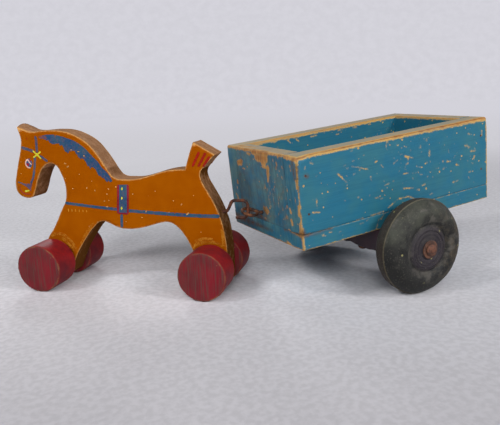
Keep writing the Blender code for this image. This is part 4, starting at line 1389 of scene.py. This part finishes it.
def old_rubber(name, centre, outward):
    """Dark rubber with greenish bloom laid on most above and in front as painted light, painted shade on the lower
    front, dark rings of painted shade in the boss's grooves, and brown dirt behind.
    """
    material, tree, shader = new_material(name, Specular_IOR_Level=0.22)
    inputs = {"Vector": add(tree, "TexCoord").outputs["Object"], "Location": -centre}
    place = add(tree, "Mapping", inputs).outputs[0]
    axes = add(tree, "SeparateXYZ", {0: place}).outputs
    flat = add(tree, "VectorMath", {0: place, 1: (1.0, 0.0, 1.0)}, operation="MULTIPLY").outputs[0]
    radius = add(tree, "VectorMath", {0: flat}, operation="LENGTH").outputs["Value"]
    cloud = noise_at(tree, place, 70.0, 5.0)
    mottle = noise_at(tree, place, 190.0, 4.0)
    grit = noise_at(tree, place, 900.0, 3.0)
    colour = blend(tree, spread(tree, mottle, 0.38, 0.64), srgb(24, 24, 24), srgb(50, 50, 48))
    # The bloom is strongest above and in front, where the light falls: bloom and painted light together.
    up_front = math_node(tree, "MULTIPLY_ADD", axes["X"], 0.35, axes["Z"])
    bloom_and_painted_light = math_node(tree, "MULTIPLY_ADD", up_front, 9.0, cloud)
    colour = blend(tree, spread(tree, bloom_and_painted_light, 0.5, 0.9, 0.0, 0.7), colour, srgb(72, 74, 64))
    dirt = math_node(tree, "MULTIPLY_ADD", axes["X"], -9.0, mottle)
    colour = blend(tree, spread(tree, dirt, 0.55, 0.95, 0.0, 0.6), colour, srgb(76, 62, 45))
    dust = noise_at(tree, place, 130.0, 6.0)
    off_groove = math_node(tree, "ABSOLUTE", math_node(tree, "SUBTRACT", radius, groove_radius))
    dust = math_node(tree, "ADD", dust, spread(tree, off_groove, 0.0, 7.0 * MM, 0.09, 0.0))
    dust = spread(tree, dust, 0.52, 0.72, 0.0, 0.6)
    colour = blend(tree, dust, colour, srgb(92, 88, 82))
    # Painted shade: the lower front of the wheel is darkened.
    shade = add(tree, "VectorMath", {0: place, 1: (0.75, 0.0, -0.66)}, operation="DOT_PRODUCT").outputs["Value"]
    shade = math_node(tree, "MULTIPLY_ADD", mottle, 20.0 * MM, shade)
    colour = blend(tree, spread(tree, shade, 22.0 * MM, 38.0 * MM, 0.0, 0.7), colour, srgb(26, 26, 25))
    boss = spread(tree, radius, 15.0 * MM, 18.0 * MM, 0.6, 0.0)
    colour = blend(tree, boss, colour, srgb(54, 47, 55))
    across = math_node(tree, "MULTIPLY", axes["Y"], outward / MM)
    colour = blend(tree, spread(tree, across, 1.0, 3.5, 0.75, 0.0), colour, srgb(52, 44, 38))
    off_line = math_node(tree, "ABSOLUTE", math_node(tree, "SUBTRACT", across, parting_across))
    tread = math_node(tree, "SUBTRACT", off_line, spread(tree, radius, 32.0 * MM, 35.0 * MM))
    colour = blend(tree, spread(tree, tread, -0.75, -0.2, 0.45, 0.0), colour, srgb(96, 86, 64))
    # Fine grooves on the boss, painted as dark rings of shade.
    rings = math_node(tree, "SINE", math_node(tree, "MULTIPLY", radius, 1900.0))
    on_boss = spread(tree, radius, 16.0 * MM, 18.0 * MM, 0.6, 0.0)
    rings = math_node(tree, "MULTIPLY", spread(tree, rings, 0.2, 0.9), on_boss)
    colour = blend(tree, rings, colour, srgb(30, 26, 32))
    cells = add(tree, "TexVoronoi", {"Vector": place, "Scale": 420.0})
    chosen = add(tree, "SeparateColor", {0: cells.outputs["Color"]}).outputs[0]
    near_centre = spread(tree, cells.outputs["Distance"], 0.3, 0.45, 1.0, 0.0)
    speck = math_node(tree, "MULTIPLY", spread(tree, chosen, 0.985, 0.99), near_centre)
    colour = blend(tree, math_node(tree, "MULTIPLY", speck, 0.7), colour, srgb(150, 144, 96))
    colour = blend(tree, spread(tree, grit, 0.55, 0.75, 0.0, 0.45), colour, srgb(108, 104, 92))
    tree.links.new(colour, shader.inputs["Base Color"])
    tree.links.new(spread(tree, mottle, 0.3, 0.7, 0.5, 0.75), shader.inputs["Roughness"])
    height = math_node(tree, "MULTIPLY_ADD", grit, 0.4, mottle)
    bump = add(tree, "Bump", {"Height": height, "Distance": 0.5 * MM, "Strength": 0.45})
    tree.links.new(bump.outputs[0], shader.inputs["Normal"])
    return material


# The outer half of the wheel from its bore to the tread, as (radius, along) in millimetres. The
# parting line is a thin rib there, and the inner half is the outer one without it.
worn_rubber, tyre_steps = 0.22 * MM, 144
tyre_profile = (
    (2.8, 11.6), (7.5, 11.6), (8.0, 11.3), (8.5, 11.6), (12.2, 11.6), (12.7, 11.1), (13.3, 11.1), (13.8, 11.55),
    (15.0, 11.4), (15.6, 11.0), (16.6, 10.0), (17.6, 9.7), (18.6, 10.2), (20.2, 11.6), (21.8, 12.2), (23.8, 12.45),
    (26.0, 12.3), (28.2, 11.7), (30.0, 10.8), (31.8, 9.4), (33.4, 7.6), (34.6, 5.7), (35.3, 3.9),
)
parting_line = ((35.35, 3.7), (36.0, 3.3), (36.0, 2.8), (35.55, 2.4))
plain_tread = ((35.7, 0.0), (35.65, -2.4))
for side in ("left", "right"):
    node = "cart_wheel_" + side
    outward = 1 if side == "left" else -1
    centre = middle(node)
    shape = [*tyre_profile, *parting_line, *plain_tread]
    shape += [(radius, -along) for radius, along in reversed(tyre_profile)]
    bm = bmesh.new()
    shape = [(radius * MM, outward * along * MM) for radius, along in shape]
    for vert in turned(bm, shape, Matrix.Translation(centre), tyre_steps):
        if math.hypot(vert.co.x - centre.x, vert.co.z - centre.z) > 10 * MM:
            vert.co -= vert.normal * worn_rubber * max(0.0, 0.4 + noise.noise(vert.co * 60))
    rubber = old_rubber("rubber_" + side, centre, outward)
    finish(node + "_dressed", bm, [rubber], f"cart_{side}_wheel", "rubber", node)

# ---- The screw eye ----
# An iron screw eye in the front board. Its ring hangs on the hook. Rusted like the hook.

eye_frame = (
    cart_frame
    @ Matrix.Translation((11.3 * MM, -1.6 * MM, 21.2 * MM))
    @ Matrix.Rotation(math.radians(-12.9), 4, "Y")
    @ Matrix.Rotation(math.radians(-17.0), 4, "X")
)
eye_rust = rust("eye_rust", (46, 28, 22), (128, 78, 44))
ring_radius, eye_gap, ring_steps = 5.8 * MM, 2.4 * MM, 48
eye_route = [Vector((x, 0.0, 0.0)) for x in (-21.5 * MM, -14.0 * MM, -ring_radius - eye_gap)]
open_angle = eye_gap / ring_radius
for step in range(ring_steps + 1):
    angle = open_angle + (2 * math.pi - 2 * open_angle) * step / ring_steps
    eye_route.append(Vector((-ring_radius * math.cos(angle), -ring_radius * math.sin(angle), 0.0)))
bm = bmesh.new()
drawn_wire(bm, eye_route, wire_radius)
finish("screw_eye", bm, [eye_rust], "cart", "rusty_steel", "hitch_eye", frame_of_piece=eye_frame)
